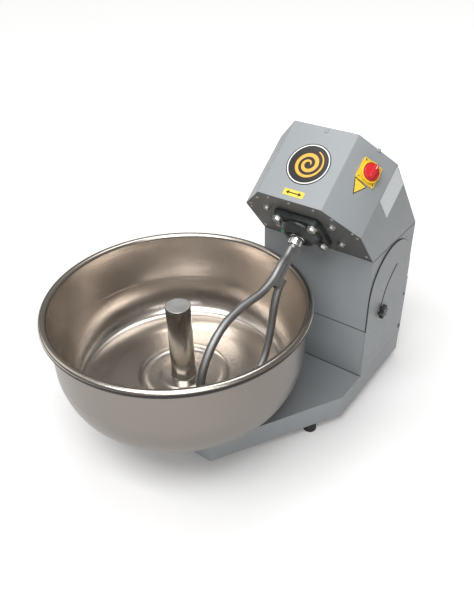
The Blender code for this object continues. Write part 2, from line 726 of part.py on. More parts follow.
def tine_radius_points(front):
    """Distance along the shaft and distance from its axis: welded beside the sleeve, swelling
    out and closing again, with the last stretch parallel to the bowl's floor. The front tine is
    welded further up and leaves the sleeve before its end."""
    touch = SHAFT_R + TINE_R + GAP
    weld = [(0.112, touch), (0.132, touch)]
    if front:
        weld = [(0.088, touch + GAP), (0.104, touch + GAP), (0.132, touch + 0.0022)]
    return weld + [(0.165, 0.031), (0.209, 0.057), (0.250, 0.0755), (0.290, 0.0800),
                   (0.330, 0.0740), (0.360, 0.0615), (0.388, 0.0420), (0.410, 0.0250)]


def tine_angle(front, out):
    """Where a tine lies round the shaft, at a distance out along it."""
    if not front:
        return TINE_TURN + math.pi
    way = min(max((out - WELD_ENDS) / (TINE_ALIGNED - WELD_ENDS), 0.0), 1.0)
    return WELD_TURN + (TINE_TURN - WELD_TURN) * way * way * (3 - 2 * way)


def smooth_through(points, pieces):
    """Catmull-Rom curve through the points."""
    padded = [points[0]] + points + [points[-1]]
    result = []
    for index in range(1, len(padded) - 2):
        p0, p1, p2, p3 = [Vector(p) for p in padded[index - 1:index + 3]]
        for step in range(pieces):
            t = step / pieces
            result.append(0.5 * (2 * p1 + (p2 - p0) * t + (2 * p0 - 5 * p1 + 4 * p2 - p3) * t * t
                                 + (3 * p1 - p0 - 3 * p2 + p3) * t ** 3))
    result.append(Vector(points[-1]))
    return result


def build_fork(fork_axis, looks):
    inside = SHAFT_R - 0.0035
    mouth = -SHAFT_OUT
    profile = [(0, mouth + 0.030), (inside, mouth + 0.030), (inside, mouth), (SHAFT_R, mouth),
               (SHAFT_R, -SLEEVE_TOP), (JOURNAL_R, -SLEEVE_TOP), (JOURNAL_R, SHAFT_IN),
               (0, SHAFT_IN)]
    turned("fork_shaft", profile, looks["fork"], fork_axis, 24)
    for name, front in (("fork_tine_front", True), ("fork_tine_rear", False)):
        path = smooth_through(tine_radius_points(front), 2)
        curve = bpy.data.curves.new(name, "CURVE")
        curve.dimensions = "3D"
        curve.bevel_depth = TINE_R
        curve.bevel_resolution = 3
        curve.use_fill_caps = True
        spline = curve.splines.new("POLY")
        spline.points.add(len(path) - 1)
        for point, (out, away) in zip(spline.points, path):
            angle = tine_angle(front, out)
            point.co = (away * math.cos(angle), -away * math.sin(angle), -out, 1)
        curve.materials.append(looks["fork"])
        made = bpy.data.objects.new(name, curve)
        bpy.context.scene.collection.objects.link(made)
        made.parent = fork_axis
    bore = JOURNAL_R + GAP
    end = 0.0005 - SLEEVE_TOP
    ring_profile = [(bore, end), (COLLAR_R - 0.001, end), (COLLAR_R, end + 0.001),
                    (COLLAR_R, -0.0300), (0.0160, -0.0295), (0.0160, -0.0100), (bore, -0.0100)]
    turned("shaft_collar", ring_profile, looks["chrome"], fork_axis, 24, closed=True)


# ---------------------------------------------------------------- switch and clamp knob
def switch_place():
    across = Vector((HEAD_HALF - PLATE_TOP_HALF, PLATE_FOLD_Y - PLATE_TOP_Y)).normalized()
    x = PLATE_TOP_HALF + across.x * SWITCH_DOWN
    y = PLATE_TOP_Y + across.y * SWITCH_DOWN
    lean = math.atan2(across.y, across.x)
    return (x, y, SWITCH_BACK), lean


def build_switch(switch_axis, cover_name, looks):
    """The switch stands on the chamfer: local z points away from the face."""
    hole = rod("switch_hole", SWITCH_BORE, -0.02, 0.02, None, switch_axis, 20)
    cut(bpy.data.objects[cover_name], hole)
    square = rounded(rectangle(-SWITCH_HALF, -SWITCH_HALF, SWITCH_HALF, SWITCH_HALF), 0.003)
    plate = prism("switch_plate", square, GAP, 0.0035, looks["yellow"], switch_axis)
    cut(plate, rod("switch_plate_bore", SWITCH_BORE, -0.02, 0.02, None, switch_axis, 20))
    ring("switch_ring", 0.0170, 0.0200, 0.0038, 0.0110, looks["yellow"], switch_axis, 24)
    body = rounded(rectangle(-0.018, -0.018, 0.018, 0.018), 0.002)
    case = prism("switch_body", body, -0.030, -SHEET - GAP, looks["black"], switch_axis)
    cut(case, rod("switch_body_bore", 0.0045, -0.020, 0.01, None, switch_axis, 16))
    profile = [(0, -0.015), (0.0040, -0.015), (0.0040, 0.0042), (0.0160, 0.0042),
               (0.0160, 0.0120), (0.0150, 0.0135), (0, 0.0135)]
    knob = turned("switch_knob", profile, looks["red"], switch_axis, 24)
    grip = rounded(rectangle(-0.0040, -0.0135, 0.0040, 0.0135), 0.003)
    join(knob, prism("switch_grip", grip, 0.010, 0.0215, None, switch_axis))


def build_lock(hood_frame, knob_axis, looks):
    """The clamp: a stud through the tilt arm, the hood and the slot, with a star knob."""
    head = ARM_IN - GAP
    profile = [(0, -0.006), (0.0055, -0.006), (0.0055, 0), (STUD_R, 0),
               (STUD_R, PANEL_OUT + 0.008 - head), (0, PANEL_OUT + 0.008 - head)]
    stud = turned("lock_stud", profile, looks["zinc"], hood_frame, 16)
    along_x(stud, head, STUD_Y, STUD_Z)
    ring("lock_washer", STUD_R + GAP, 0.0085, GAP, 0.0017, looks["zinc"], knob_axis, 20)
    lobes = 6
    outline = []
    for index in range(lobes * 6):
        angle = 2 * math.pi * index / (lobes * 6)
        radius = KNOB_R * (0.81 + 0.19 * math.cos(lobes * angle))
        outline.append((radius * math.cos(angle), radius * math.sin(angle)))
    knob = prism("star_knob", outline, KNOB_LIFT, KNOB_LIFT + KNOB_T, looks["black"], knob_axis)
    cut(knob, rod("knob_bore", STUD_R + GAP, -0.01, 0.0085, None, knob_axis, 16))


# ---------------------------------------------------------------- assembly
def make_looks():
    return {
        "paint": material("satin_grey_paint", (0.42, 0.45, 0.47), 0.45),
        "paint_dark": material("underside_grey_paint", (0.20, 0.20, 0.20), 0.5),
        "stainless": material("brushed_stainless", (0.62, 0.58, 0.54), 0.28, 1.0),
        "fork": material("polished_fork_steel", (0.55, 0.55, 0.56), 0.25, 1.0),
        "chrome": material("bearing_chrome", (0.80, 0.80, 0.80), 0.12, 1.0),
        "steel": material("bright_mild_steel", (0.45, 0.45, 0.46), 0.4, 1.0),
        "zinc": material("zinc_plated_bolt", (0.66, 0.66, 0.64), 0.35, 1.0),
        "cast": material("dark_green_casting", (0.02, 0.05, 0.04), 0.45),
        "alloy": material("motor_alloy", (0.35, 0.37, 0.39), 0.5, 0.6),
        "rubber": material("black_rubber", (0.02, 0.02, 0.02), 0.8),
        "black": material("black_plastic", (0.02, 0.02, 0.02), 0.5),
        "yellow": material("switch_yellow", (0.85, 0.60, 0.02), 0.4),
        "red": material("switch_red", (0.65, 0.02, 0.03), 0.35),
        "green": material("green_grease_cap", (0.0, 0.35, 0.15), 0.5),
    }


def machine_shift():
    """Where the machine frame lies so that the box is centred and stands on the ground."""
    left = BOWL_X - RIM_R
    right = KNOB_FACE
    front = -RIM_R
    rear = COLUMN_REAR + GLAND_OUT
    return (-(left + right) / 2, -(front + rear) / 2, BASE_HEIGHT + FOOT_HEIGHT)


def build():
    clear_scene()
    looks = make_looks()
    machine = empty("machine_frame", machine_shift())
    tilt_pivot = empty("tilt_pivot", (0, PIVOT_Y, PIVOT_Z), parent=machine)
    hood_frame = empty("hood_frame", (0, -PIVOT_Y, -PIVOT_Z), parent=tilt_pivot)
    drive_frame = empty("drive_frame", (0, SHAFT_Y, SHAFT_Z),
                        (AXIS_TILT - math.radians(90), 0, 0), hood_frame)
    fork_axis = empty("fork_axis", parent=drive_frame)
    motor_axis = empty("motor_axis", (0, MOTOR_DROP, 0), parent=drive_frame)
    bowl_axis = empty("bowl_axis", (BOWL_X, 0, 0), parent=machine)
    place, lean = switch_place()
    switch_turn = (math.radians(90), 0, lean)
    switch_axis = empty("switch_axis", place, switch_turn, drive_frame)
    knob_axis = empty("knob_axis", (PANEL_OUT, STUD_Y, STUD_Z), (0, math.radians(90), 0),
                      hood_frame)

    build_base(machine, looks)
    build_column(machine, looks)
    build_pivot(machine, looks)
    build_hub(machine, bowl_axis, looks)
    build_bowl(bowl_axis, looks)
    build_head_cover(drive_frame, hood_frame, looks)
    build_front_plate(drive_frame, looks)
    build_hood(hood_frame, looks)
    build_tilt_arms(hood_frame, looks)
    build_flange_bearing(drive_frame, looks)
    build_bearing_bridge(drive_frame, looks)
    build_fork_drive(drive_frame, fork_axis, motor_axis, looks)
    build_fork(fork_axis, looks)
    build_switch(switch_axis, "head_cover", looks)
    build_lock(hood_frame, knob_axis, looks)


build()
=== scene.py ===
"""Looks of the tilting-head fork kneader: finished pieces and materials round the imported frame."""
import json
import math

import bmesh
import bpy
from mathutils import Matrix, Vector


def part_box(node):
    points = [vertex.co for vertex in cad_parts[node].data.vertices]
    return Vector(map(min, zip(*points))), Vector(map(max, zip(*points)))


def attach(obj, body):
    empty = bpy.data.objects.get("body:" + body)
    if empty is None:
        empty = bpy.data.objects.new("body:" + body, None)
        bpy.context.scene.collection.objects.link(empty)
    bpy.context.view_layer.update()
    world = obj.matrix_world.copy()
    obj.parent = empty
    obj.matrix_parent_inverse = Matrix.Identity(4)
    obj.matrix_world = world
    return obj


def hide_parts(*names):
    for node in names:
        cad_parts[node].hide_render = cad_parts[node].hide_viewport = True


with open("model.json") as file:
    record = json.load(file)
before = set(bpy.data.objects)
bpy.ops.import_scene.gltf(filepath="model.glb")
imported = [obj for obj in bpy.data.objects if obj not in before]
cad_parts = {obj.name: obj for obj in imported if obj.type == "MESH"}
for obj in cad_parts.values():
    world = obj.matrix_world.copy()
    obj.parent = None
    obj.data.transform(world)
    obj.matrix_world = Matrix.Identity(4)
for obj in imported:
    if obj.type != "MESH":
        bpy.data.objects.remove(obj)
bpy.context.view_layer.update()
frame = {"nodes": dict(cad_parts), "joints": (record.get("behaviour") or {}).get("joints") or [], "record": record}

# ---------------------------------------------------------------- places, read from the frame
JOINTS = {joint["name"]: joint for joint in frame["joints"]}
ROUND = 96               # steps round a turned piece
LIFT = 0.00015           # a label stands this far off the paint
LABEL_T = 0.0003


def axes_matrix(origin, x_axis, y_axis, z_axis):
    made = Matrix.Identity(4)
    for column, values in enumerate((x_axis, y_axis, z_axis, origin)):
        for row in range(3):
            made[row][column] = values[row]
    return made


def joint_place(name, y_axis):
    """A frame at a joint with local z along its axis and local y as near y_axis as that allows."""
    z_axis = Vector(JOINTS[name]["axis"]).normalized()
    x_axis = Vector(y_axis).cross(z_axis).normalized()
    return axes_matrix(JOINTS[name]["pos_m"], x_axis, z_axis.cross(x_axis), z_axis)


def drive_place():
    """At the fork shaft in the front plate's face: local z into the head, local y down the plate."""
    inwards = -Vector(JOINTS["fork_spin"]["axis"]).normalized()
    across = Vector((1, 0, 0))
    return axes_matrix(JOINTS["fork_spin"]["pos_m"], across, inwards.cross(across), inwards)


def local_box(node, place):
    """A CAD node's lowest and highest corners, in the axes of a place."""
    inverse = place.inverted()
    points = [inverse @ vertex.co for vertex in frame["nodes"][node].data.vertices]
    low = Vector([min(point[axis] for point in points) for axis in range(3)])
    high = Vector([max(point[axis] for point in points) for axis in range(3)])
    return low, high


DRIVE = drive_place()
DRIVE_TURN = DRIVE.to_3x3()
SWITCH = joint_place("switch_turn", DRIVE_TURN @ Vector((0, 0, 1)))
KNOB = joint_place("clamp_knob_turn", (0, 0, 1))
BASE_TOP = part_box("base_pan")[1].z
BOWL = Matrix.Translation((*JOINTS["bowl_spin"]["pos_m"][:2], 0))
COVER_LOW, COVER_HIGH = local_box("head_cover", DRIVE)
COVER_TOP_HALF = 0.0682  # half the width of the cover's flat top
PLATE_FOLD_Y = -0.0246   # where the front plate's sides turn into its slants
PIVOT = Vector(JOINTS["head_tilt"]["pos_m"])
PANEL_LOW, PANEL_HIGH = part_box("right_side_panel")
PANEL_REACH = PANEL_HIGH.x - PIVOT.x
FRONT_SEAM_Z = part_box("lower_front_panel")[1].z
# local x to the rear, y up, z to the right, from the middle of the column
SIDEWAYS = axes_matrix((PIVOT.x, 0, 0), (0, 1, 0), (0, 0, 1), (1, 0, 0))


# ---------------------------------------------------------------- materials
class Look:
    """A node material being built: its tree, its shader, and short ways to add to it."""

    def __init__(self, name, color, roughness, metallic=0.0):
        self.material = bpy.data.materials.new(name)
        self.material.use_nodes = True
        self.nodes = self.material.node_tree.nodes
        self.links = self.material.node_tree.links
        self.shader = self.nodes["Principled BSDF"]
        self.color = color
        self.set("Base Color", (*color, 1.0))
        self.set("Roughness", roughness)
        self.set("Metallic", metallic)
        self.coords = self.add("ShaderNodeTexCoord").outputs["Object"]

    def add(self, kind, **inputs):
        made = self.nodes.new(kind)
        for name, value in inputs.items():
            made.inputs[name.replace("_", " ")].default_value = value
        return made

    def set(self, socket, value):
        self.shader.inputs[socket].default_value = value

    def link(self, source, target):
        self.links.new(source, target)

    def stretched(self, scale):
        """Object coordinates scaled along each axis, to draw a grain out in one direction."""
        mapping = self.add("ShaderNodeMapping")
        mapping.inputs["Scale"].default_value = scale
        self.link(self.coords, mapping.inputs["Vector"])
        return mapping.outputs["Vector"]

    def rings(self):
        """Coordinates that change only with the distance from local z and the height on it."""
        split = self.add("ShaderNodeSeparateXYZ")
        self.link(self.coords, split.inputs["Vector"])
        flat = self.add("ShaderNodeCombineXYZ")
        self.link(split.outputs["X"], flat.inputs["X"])
        self.link(split.outputs["Y"], flat.inputs["Y"])
        radius = self.add("ShaderNodeVectorMath")
        radius.operation = "LENGTH"
        self.link(flat.outputs["Vector"], radius.inputs[0])
        joined = self.add("ShaderNodeCombineXYZ")
        self.link(radius.outputs["Value"], joined.inputs["X"])
        self.link(split.outputs["Z"], joined.inputs["Y"])
        return joined.outputs["Vector"]

    def noise(self, vector, scale, detail=2.0, roughness=0.5):
        made = self.add("ShaderNodeTexNoise", Scale=scale, Detail=detail, Roughness=roughness)
        self.link(vector, made.inputs["Vector"])
        return made.outputs["Fac"]

    def spread(self, value, low, high, start=0.3, end=0.7):
        made = self.add("ShaderNodeMapRange")
        made.inputs["From Min"].default_value = start
        made.inputs["From Max"].default_value = end
        made.inputs["To Min"].default_value = low
        made.inputs["To Max"].default_value = high
        self.link(value, made.inputs["Value"])
        return made.outputs["Result"]

    def vary_roughness(self, value, low, high):
        self.link(self.spread(value, low, high), self.shader.inputs["Roughness"])

    def vary_color(self, value, dark, light):
        """The colour times a factor between dark and light, as the value says."""
        made = self.add("ShaderNodeMix")
        made.data_type = "RGBA"
        for socket, factor in (("A", dark), ("B", light)):
            shade = [min(1.0, channel * factor) for channel in self.color]
            find_socket(made, socket).default_value = (*shade, 1.0)
        self.link(self.spread(value, 0.0, 1.0), made.inputs["Factor"])
        self.link(find_color_output(made), self.shader.inputs["Base Color"])

    def bump(self, value, strength, distance):
        made = self.add("ShaderNodeBump", Strength=strength, Distance=distance)
        self.link(value, made.inputs["Height"])
        previous = self.shader.inputs["Normal"].links
        if previous:
            self.link(previous[0].from_socket, made.inputs["Normal"])
        self.link(made.outputs["Normal"], self.shader.inputs["Normal"])


def find_socket(mix, name):
    """The colour input of a mix node; each name stands for several kinds of input."""
    return [socket for socket in mix.inputs if socket.name == name and socket.type == "RGBA"][0]


def find_color_output(mix):
    return [socket for socket in mix.outputs if socket.type == "RGBA"][0]


def powder_coat(name, color, roughness):
    """Satin powder coat: a faint orange peel and a slow drift in shade."""
    look = Look(name, color, roughness)
    look.vary_color(look.noise(look.coords, 5.0, 3.0), 0.96, 1.03)
    look.vary_roughness(look.noise(look.coords, 60.0, 2.0), roughness - 0.05, roughness + 0.05)
    look.bump(look.noise(look.coords, 420.0, 2.0), 0.10, 0.0004)
    look.set("Specular IOR Level", 0.45)
    return look.material


def spun_steel(name, color, roughness, anisotropy):
    """Stainless steel turned on a lathe: faint lines round local z under a soft sheen."""
    look = Look(name, color, roughness, 1.0)
    rings = look.rings()
    fine = look.noise(rings, 1100.0, 2.0, 0.5)
    broad = look.noise(rings, 70.0, 1.0)
    cloud = look.noise(look.coords, 6.0, 2.0)
    look.link(look.spread(cloud, roughness - 0.03, roughness + 0.04, 0.1, 0.9),
              look.shader.inputs["Roughness"])
    look.bump(fine, 0.012, 0.0002)
    look.bump(broad, 0.03, 0.0010)
    look.set("Anisotropic", anisotropy)
    tangent = look.add("ShaderNodeTangent")
    tangent.direction_type = "RADIAL"
    tangent.axis = "Z"
    look.link(tangent.outputs["Tangent"], look.shader.inputs["Tangent"])
    return look.material


def bar_steel(name, color, roughness):
    """Ground bar: fine scratches with a few duller patches."""
    look = Look(name, color, roughness, 1.0)
    grain = look.noise(look.stretched((1.0, 1.0, 0.06)), 1500.0, 2.0, 0.6)
    patches = look.noise(look.coords, 22.0, 2.0)
    look.vary_roughness(patches, roughness - 0.04, roughness + 0.07)
    look.vary_color(patches, 0.90, 1.05)
    look.bump(grain, 0.04, 0.0002)
    return look.material


def plated_steel(name, color, roughness):
    look = Look(name, color, roughness, 1.0)
    look.vary_color(look.noise(look.coords, 140.0, 3.0), 0.85, 1.08)
    look.vary_roughness(look.noise(look.coords, 300.0, 2.0), roughness - 0.06, roughness + 0.08)
    look.bump(look.noise(look.coords, 900.0, 2.0), 0.08, 0.0002)
    return look.material


def enamelled_casting(name, color, roughness):
    """Thick enamel over a sand casting."""
    look = Look(name, color, roughness)
    look.vary_color(look.noise(look.coords, 25.0, 4.0), 0.7, 1.35)
    look.vary_roughness(look.noise(look.coords, 90.0, 3.0), roughness - 0.08, roughness + 0.12)
    look.bump(look.noise(look.coords, 160.0, 4.0, 0.6), 0.25, 0.0008)
    look.set("Coat Weight", 0.3)
    look.set("Coat Roughness", 0.25)
    return look.material


def moulded(name, color, roughness, grain=700.0, depth=0.10):
    """Moulded plastic or rubber with a fine grain."""
    look = Look(name, color, roughness)
    look.vary_color(look.noise(look.coords, 20.0, 2.0), 0.92, 1.06)
    look.vary_roughness(look.noise(look.coords, 120.0, 2.0), roughness - 0.05, roughness + 0.06)
    look.bump(look.noise(look.coords, grain, 2.0), depth, 0.0003)
    return look.material


def printed_film(name, color, roughness=0.35):
    """Printed vinyl label."""
    look = Look(name, color, roughness)
    look.vary_color(look.noise(look.coords, 300.0, 2.0), 0.97, 1.02)
    look.bump(look.noise(look.coords, 90.0, 2.0), 0.04, 0.0003)
    look.set("Coat Weight", 0.2)
    look.set("Coat Roughness", 0.15)
    return look.material


LOOKS = {
    "satin_grey_paint": powder_coat("light_grey_powder_coat", (0.290, 0.311, 0.325), 0.44),
    "underside_grey_paint": powder_coat("dark_grey_powder_coat", (0.112, 0.114, 0.109), 0.42),
    "stainless": spun_steel("spun_stainless", (0.605, 0.556, 0.506), 0.24, 0.45),
    "fork_steel": bar_steel("ground_fork_bar", (0.30, 0.30, 0.30), 0.50),
    "bearing_chrome": plated_steel("polished_journal", (0.82, 0.82, 0.82), 0.12),
    "mild_steel": plated_steel("rolled_steel", (0.40, 0.40, 0.41), 0.42),
    "zinc_plate": plated_steel("zinc_plated_fastener", (0.50, 0.50, 0.48), 0.38),
    "green_casting": enamelled_casting("green_black_casting", (0.006, 0.012, 0.010), 0.42),
    "motor_alloy": plated_steel("die_cast_alloy", (0.36, 0.38, 0.40), 0.5),
    "black_rubber": moulded("foot_rubber", (0.022, 0.022, 0.022), 0.72, 500.0, 0.2),
    "black_plastic": moulded("black_moulding", (0.020, 0.020, 0.021), 0.42),
    "yellow_plastic": moulded("yellow_moulding", (0.80, 0.54, 0.03), 0.32),
    "red_plastic": moulded("red_moulding", (0.62, 0.026, 0.036), 0.30),
    "green_plastic": moulded("green_cap", (0.0, 0.33, 0.15), 0.38),
}
# Painted shade: a near-black copy of the spun steel for the underside of the rolled bead.
BEAD_SHADE_STEEL = spun_steel("bead_underside_painted_shade", (0.045, 0.042, 0.040), 0.42, 0.2)
# Satin stainless for the bowl's outside, its colour darkened well below the inside's as painted shade.
SHADED_SATIN_STEEL = spun_steel("satin_stainless_painted_shade", (0.235, 0.213, 0.196), 0.34, 0.2)
POST_STEEL = bar_steel("post_tube_steel", (0.42, 0.405, 0.37), 0.18)
GROUND_STEEL = bar_steel("ground_disc_steel", (0.66, 0.66, 0.65), 0.50)
SHADE = moulded("dark_gap", (0.01, 0.01, 0.01), 0.8)
SEAM_SHADE = moulded("thin_gap", (0.07, 0.07, 0.07), 0.8)
FILMS = {
    "black": printed_film("black_film", (0.012, 0.011, 0.010)),
    "white": printed_film("white_film", (0.85, 0.85, 0.83)),
    "amber": printed_film("amber_film", (0.90, 0.42, 0.06)),
    "yellow": printed_film("yellow_film", (0.84, 0.62, 0.07)),
    "silver": printed_film("silver_film", (0.62, 0.66, 0.68)),
}


# ---------------------------------------------------------------- building pieces
def settle(piece, place, body, nodes=()):
    """Puts a finished piece in its place on a body, in the stead of the CAD nodes it stands for."""
    piece.matrix_world = place
    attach(piece, body)
    if nodes:
        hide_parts(*nodes)
    return piece


def to_object(name, bm, look, smooth=35.0):
    bmesh.ops.recalc_face_normals(bm, faces=bm.faces)
    mesh = bpy.data.meshes.new(name)
    bm.to_mesh(mesh)
    bm.free()
    mesh.materials.append(look)
    mesh.shade_smooth()
    mesh.set_sharp_from_angle(angle=math.radians(smooth))
    made = bpy.data.objects.new(name, mesh)
    bpy.context.scene.collection.objects.link(made)
    return made


def soften(piece, width, segments=2, angle=30.0):
    """Rounds a piece's sharp edges."""
    edge = piece.modifiers.new("edge", "BEVEL")
    edge.width = width
    edge.segments = segments
    edge.limit_method = "ANGLE"
    edge.angle_limit = math.radians(angle)
    edge.harden_normals = True
    return piece


def turned(name, profile, look, closed=False, steps=ROUND, smooth=32.0):
    """A profile of (radius, height) points turned about local z."""
    bm = bmesh.new()
    verts = [bm.verts.new((radius, 0, height)) for radius, height in profile]
    edges = [bm.edges.new(pair) for pair in zip(verts, verts[1:])]
    if closed:
        edges.append(bm.edges.new((verts[-1], verts[0])))
    bmesh.ops.spin(bm, geom=verts + edges, cent=(0, 0, 0), axis=(0, 0, 1),
                   angle=2 * math.pi, steps=steps, use_merge=True)
    bmesh.ops.remove_doubles(bm, verts=bm.verts, dist=1e-7)
    return to_object(name, bm, look, smooth)


def slab(name, outline, low, high, look, smooth=35.0):
    """An outline in local x and y, extruded from one height to another."""
    bm = bmesh.new()
    face = bm.faces.new([bm.verts.new((x, y, low)) for x, y in outline])
    grown = bmesh.ops.extrude_face_region(bm, geom=[face])
    moved = [item for item in grown["geom"] if isinstance(item, bmesh.types.BMVert)]
    bmesh.ops.translate(bm, verts=moved, vec=(0, 0, high - low))
    return to_object(name, bm, look, smooth)


def arc(center, radius, start, end, steps):
    """Points on a circle from one angle to another, both included (degrees)."""
    points = []
    for index in range(steps + 1):
        angle = math.radians(start + (end - start) * index / steps)
        points.append((center[0] + radius * math.cos(angle), center[1] + radius * math.sin(angle)))
    return points


def rounded_rectangle(half_x, half_y, radius, steps=6):
    points = []
    for sign_x, sign_y, start in ((1, 1, 0), (-1, 1, 90), (-1, -1, 180), (1, -1, 270)):
        center = (sign_x * (half_x - radius), sign_y * (half_y - radius))
        points += arc(center, radius, start, start + 90, steps)
    return points


def smooth_through(points, pieces):
    """Catmull-Rom curve through points of any dimension."""
    padded = [points[0]] + list(points) + [points[-1]]
    result = []
    for index in range(1, len(padded) - 2):
        p0, p1, p2, p3 = [Vector(point) for point in padded[index - 1:index + 3]]
        for step in range(pieces):
            t = step / pieces
            result.append(0.5 * (2 * p1 + (p2 - p0) * t + (2 * p0 - 5 * p1 + 4 * p2 - p3) * t * t
                                 + (3 * p1 - p0 - 3 * p2 + p3) * t ** 3))
    result.append(Vector(points[-1]))
    return result


def tube(name, path, radius, look, sides=28):
    """A round bar along points in local space, with slightly domed ends."""
    bm = bmesh.new()
    sections = []
    side = Vector((1, 0, 0))
    count = len(path)
    for index, point in enumerate(path):
        ahead = path[min(index + 1, count - 1)] - path[max(index - 1, 0)]
        ahead.normalize()
        side = (side - ahead * side.dot(ahead)).normalized()
        other = ahead.cross(side)
        ring = []
        for step in range(sides):
            angle = 2 * math.pi * step / sides
            ring.append(bm.verts.new(point + (side * math.cos(angle) + other * math.sin(angle)) * radius))
        sections.append(ring)
    for first, second in zip(sections, sections[1:]):
        for step in range(sides):
            after = (step + 1) % sides
            bm.faces.new((first[step], first[after], second[after], second[step]))
    for ring in (sections[0], sections[-1]):
        bm.faces.new(ring)
    return soften(to_object(name, bm, look), radius * 0.12, 2, 50.0)


def refined(node, look, width, segments=2, angle=30.0):
    """The CAD node's own shape with its flat faces joined up and its sharp edges rounded."""
    source = frame["nodes"][node]
    bm = bmesh.new()
    bm.from_mesh(source.data)
    bmesh.ops.remove_doubles(bm, verts=bm.verts, dist=2e-6)
    bmesh.ops.dissolve_limit(bm, angle_limit=math.radians(0.5), verts=bm.verts, edges=bm.edges)
    return soften(to_object(node + "_finished", bm, look), width, segments, angle)


# ---------------------------------------------------------------- bowl and post
WALL_R = 0.2486          # inside of the bowl's upright wall
CURVE_R = 0.2050         # where its floor starts to curve up
CURVE_RISE = 0.0890
CURVE_POWER = 1.135
TROUGH = 0.0016          # the floor's outer edge below its middle
BOWL_T = 0.0020
BEAD_R = 0.008
BEAD_T = 0.0008
BEAD_SHADE_FROM = 20         # degrees above level, where the painted shade on the bead's underside starts
POST_R = 0.0255


def offset_profile(points, distance):
    """An open profile moved to its right-hand side: under and outside the bowl."""
    result = []
    for index, point in enumerate(points):
        along = points[min(index + 1, len(points) - 1)] - points[max(index - 1, 0)]
        along.normalize()
        result.append(Vector((point.x + along.y * distance, point.y - along.x * distance)))
    result[0].x = 0.0
    return result


def build_bowl():
    """The CAD's profile with its rings, its curve and its rolled bead drawn smoothly, as three shells:
    the spun inside, the satin outside darkened as painted shade, and the bead's underside in near-black painted
    shade."""
    rim = local_box("bowl", BOWL)[1]
    floor = local_box("centre_post", BOWL)[0].z - 0.0003
    swell = [(0.0, 0.0), (0.020, 0.0), (0.040, 0.0), (0.046, -0.0003), (0.052, -0.0018),
             (0.060, -0.0022), (0.074, -0.0017), (0.081, 0.0002), (0.086, 0.0012),
             (0.091, 0.0002), (0.097, -0.0018), (0.112, -0.0016), (0.128, -0.0010),
             (0.150, 0.0), (0.163, -0.0008), (0.178, -0.0016)]
    points = [Vector((r, floor + z)) for r, z in swell]
    steps = 14
    for step in range(steps + 1):
        angle = math.radians(90 * step / steps)
        out = (WALL_R - CURVE_R) * math.sin(angle) ** CURVE_POWER
        up = CURVE_RISE * (1 - math.cos(angle) ** CURVE_POWER)
        points.append(Vector((CURVE_R + out, floor - TROUGH + up)))
    points += [Vector((WALL_R, rim.z - 0.050)), Vector((WALL_R, rim.z - 0.0190))]
    inner = smooth_through(points, 3)
    middle = offset_profile(inner, 0.0011)
    outer = offset_profile(inner, BOWL_T)
    center = (rim.x - BEAD_R, rim.z - BEAD_R)
    bead = [Vector(p) for p in arc(center, BEAD_R, 187, BEAD_SHADE_FROM, 18)]
    under = [Vector(p) for p in arc(center, BEAD_R, BEAD_SHADE_FROM, -112, 12)]
    below = [Vector(p) for p in arc(center, BEAD_R - BEAD_T, -112, BEAD_SHADE_FROM, 12)]
    for name, line, look in (("bowl_inside", inner + bead + middle[::-1], LOOKS["stainless"]),
                             ("bowl_outside", middle + outer[::-1], SHADED_SATIN_STEEL),
                             ("bead_underside", under + below, BEAD_SHADE_STEEL)):
        shell = turned(name, [tuple(p) for p in line], look, closed=True, steps=192, smooth=50.0)
        settle(shell, BOWL, "bowl", ["bowl"])


def build_post():
    """A capped tube with a narrow weld at its foot and a ground disc on its top."""
    low, high = local_box("centre_post", BOWL)
    top = high.z - 0.0002
    floor = low.z
    wall = 0.003
    profile = [(0, top - wall), (POST_R - wall, top - wall), (POST_R - wall, floor),
               (POST_R + 0.0014, floor), (POST_R + 0.0012, floor + 0.0008),
               (POST_R + 0.0004, floor + 0.0018), (POST_R, floor + 0.0028)]
    profile += arc((POST_R - 0.0008, top - 0.0008), 0.0008, 0, 90, 4)
    profile += [(0, top)]
    post = turned("centre_post_finished", profile, POST_STEEL)
    settle(post, BOWL, "bowl", ["centre_post"])
    face = turned("post_top_face", [(0, top), (POST_R - 0.0010, top), (POST_R - 0.0013, high.z),
                                    (0, high.z)], GROUND_STEEL)
    settle(face, BOWL, "bowl")


# ---------------------------------------------------------------- fork
SLEEVE_R = local_box("fork_shaft", DRIVE)[1].x
SLEEVE_TOP = -0.0460
JOURNAL_R = 0.0095
COLLAR_R = 0.0135
TINE_R = 0.008
TINE_TURN = math.radians(100)    # the tines' plane, round the shaft
WELD_TURN = math.radians(80)     # the front tine's weld sits a little nearer the front
WELD_ENDS = 0.115                # along the shaft; from here the front tine swings into line
TINE_ALIGNED = 0.209


def tine_profile(front):
    """Distance out along the shaft and distance from its axis, as on the frame's tines. The
    front tine's upper end lies sunk in the sleeve's side, welded and ground over."""
    touch = SLEEVE_R + TINE_R
    weld = [(0.112, touch), (0.132, touch)]
    if front:
        weld = [(0.054, 0.0100), (0.074, 0.0112), (0.090, 0.0160), (0.104, touch),
                (0.132, touch + 0.0022)]
    points = weld + [(0.165, 0.031), (0.209, 0.057), (0.250, 0.0755), (0.290, 0.0800),
                     (0.330, 0.0740), (0.360, 0.0615), (0.388, 0.0420), (0.410, 0.0250)]
    return smooth_through(points, 8)


def tine_angle(front, out):
    """Where a tine lies round the shaft, in radians, at a distance out along it."""
    if not front:
        return TINE_TURN + math.pi
    way = min(max((out - WELD_ENDS) / (TINE_ALIGNED - WELD_ENDS), 0.0), 1.0)
    return WELD_TURN + (TINE_TURN - WELD_TURN) * way * way * (3 - 2 * way)


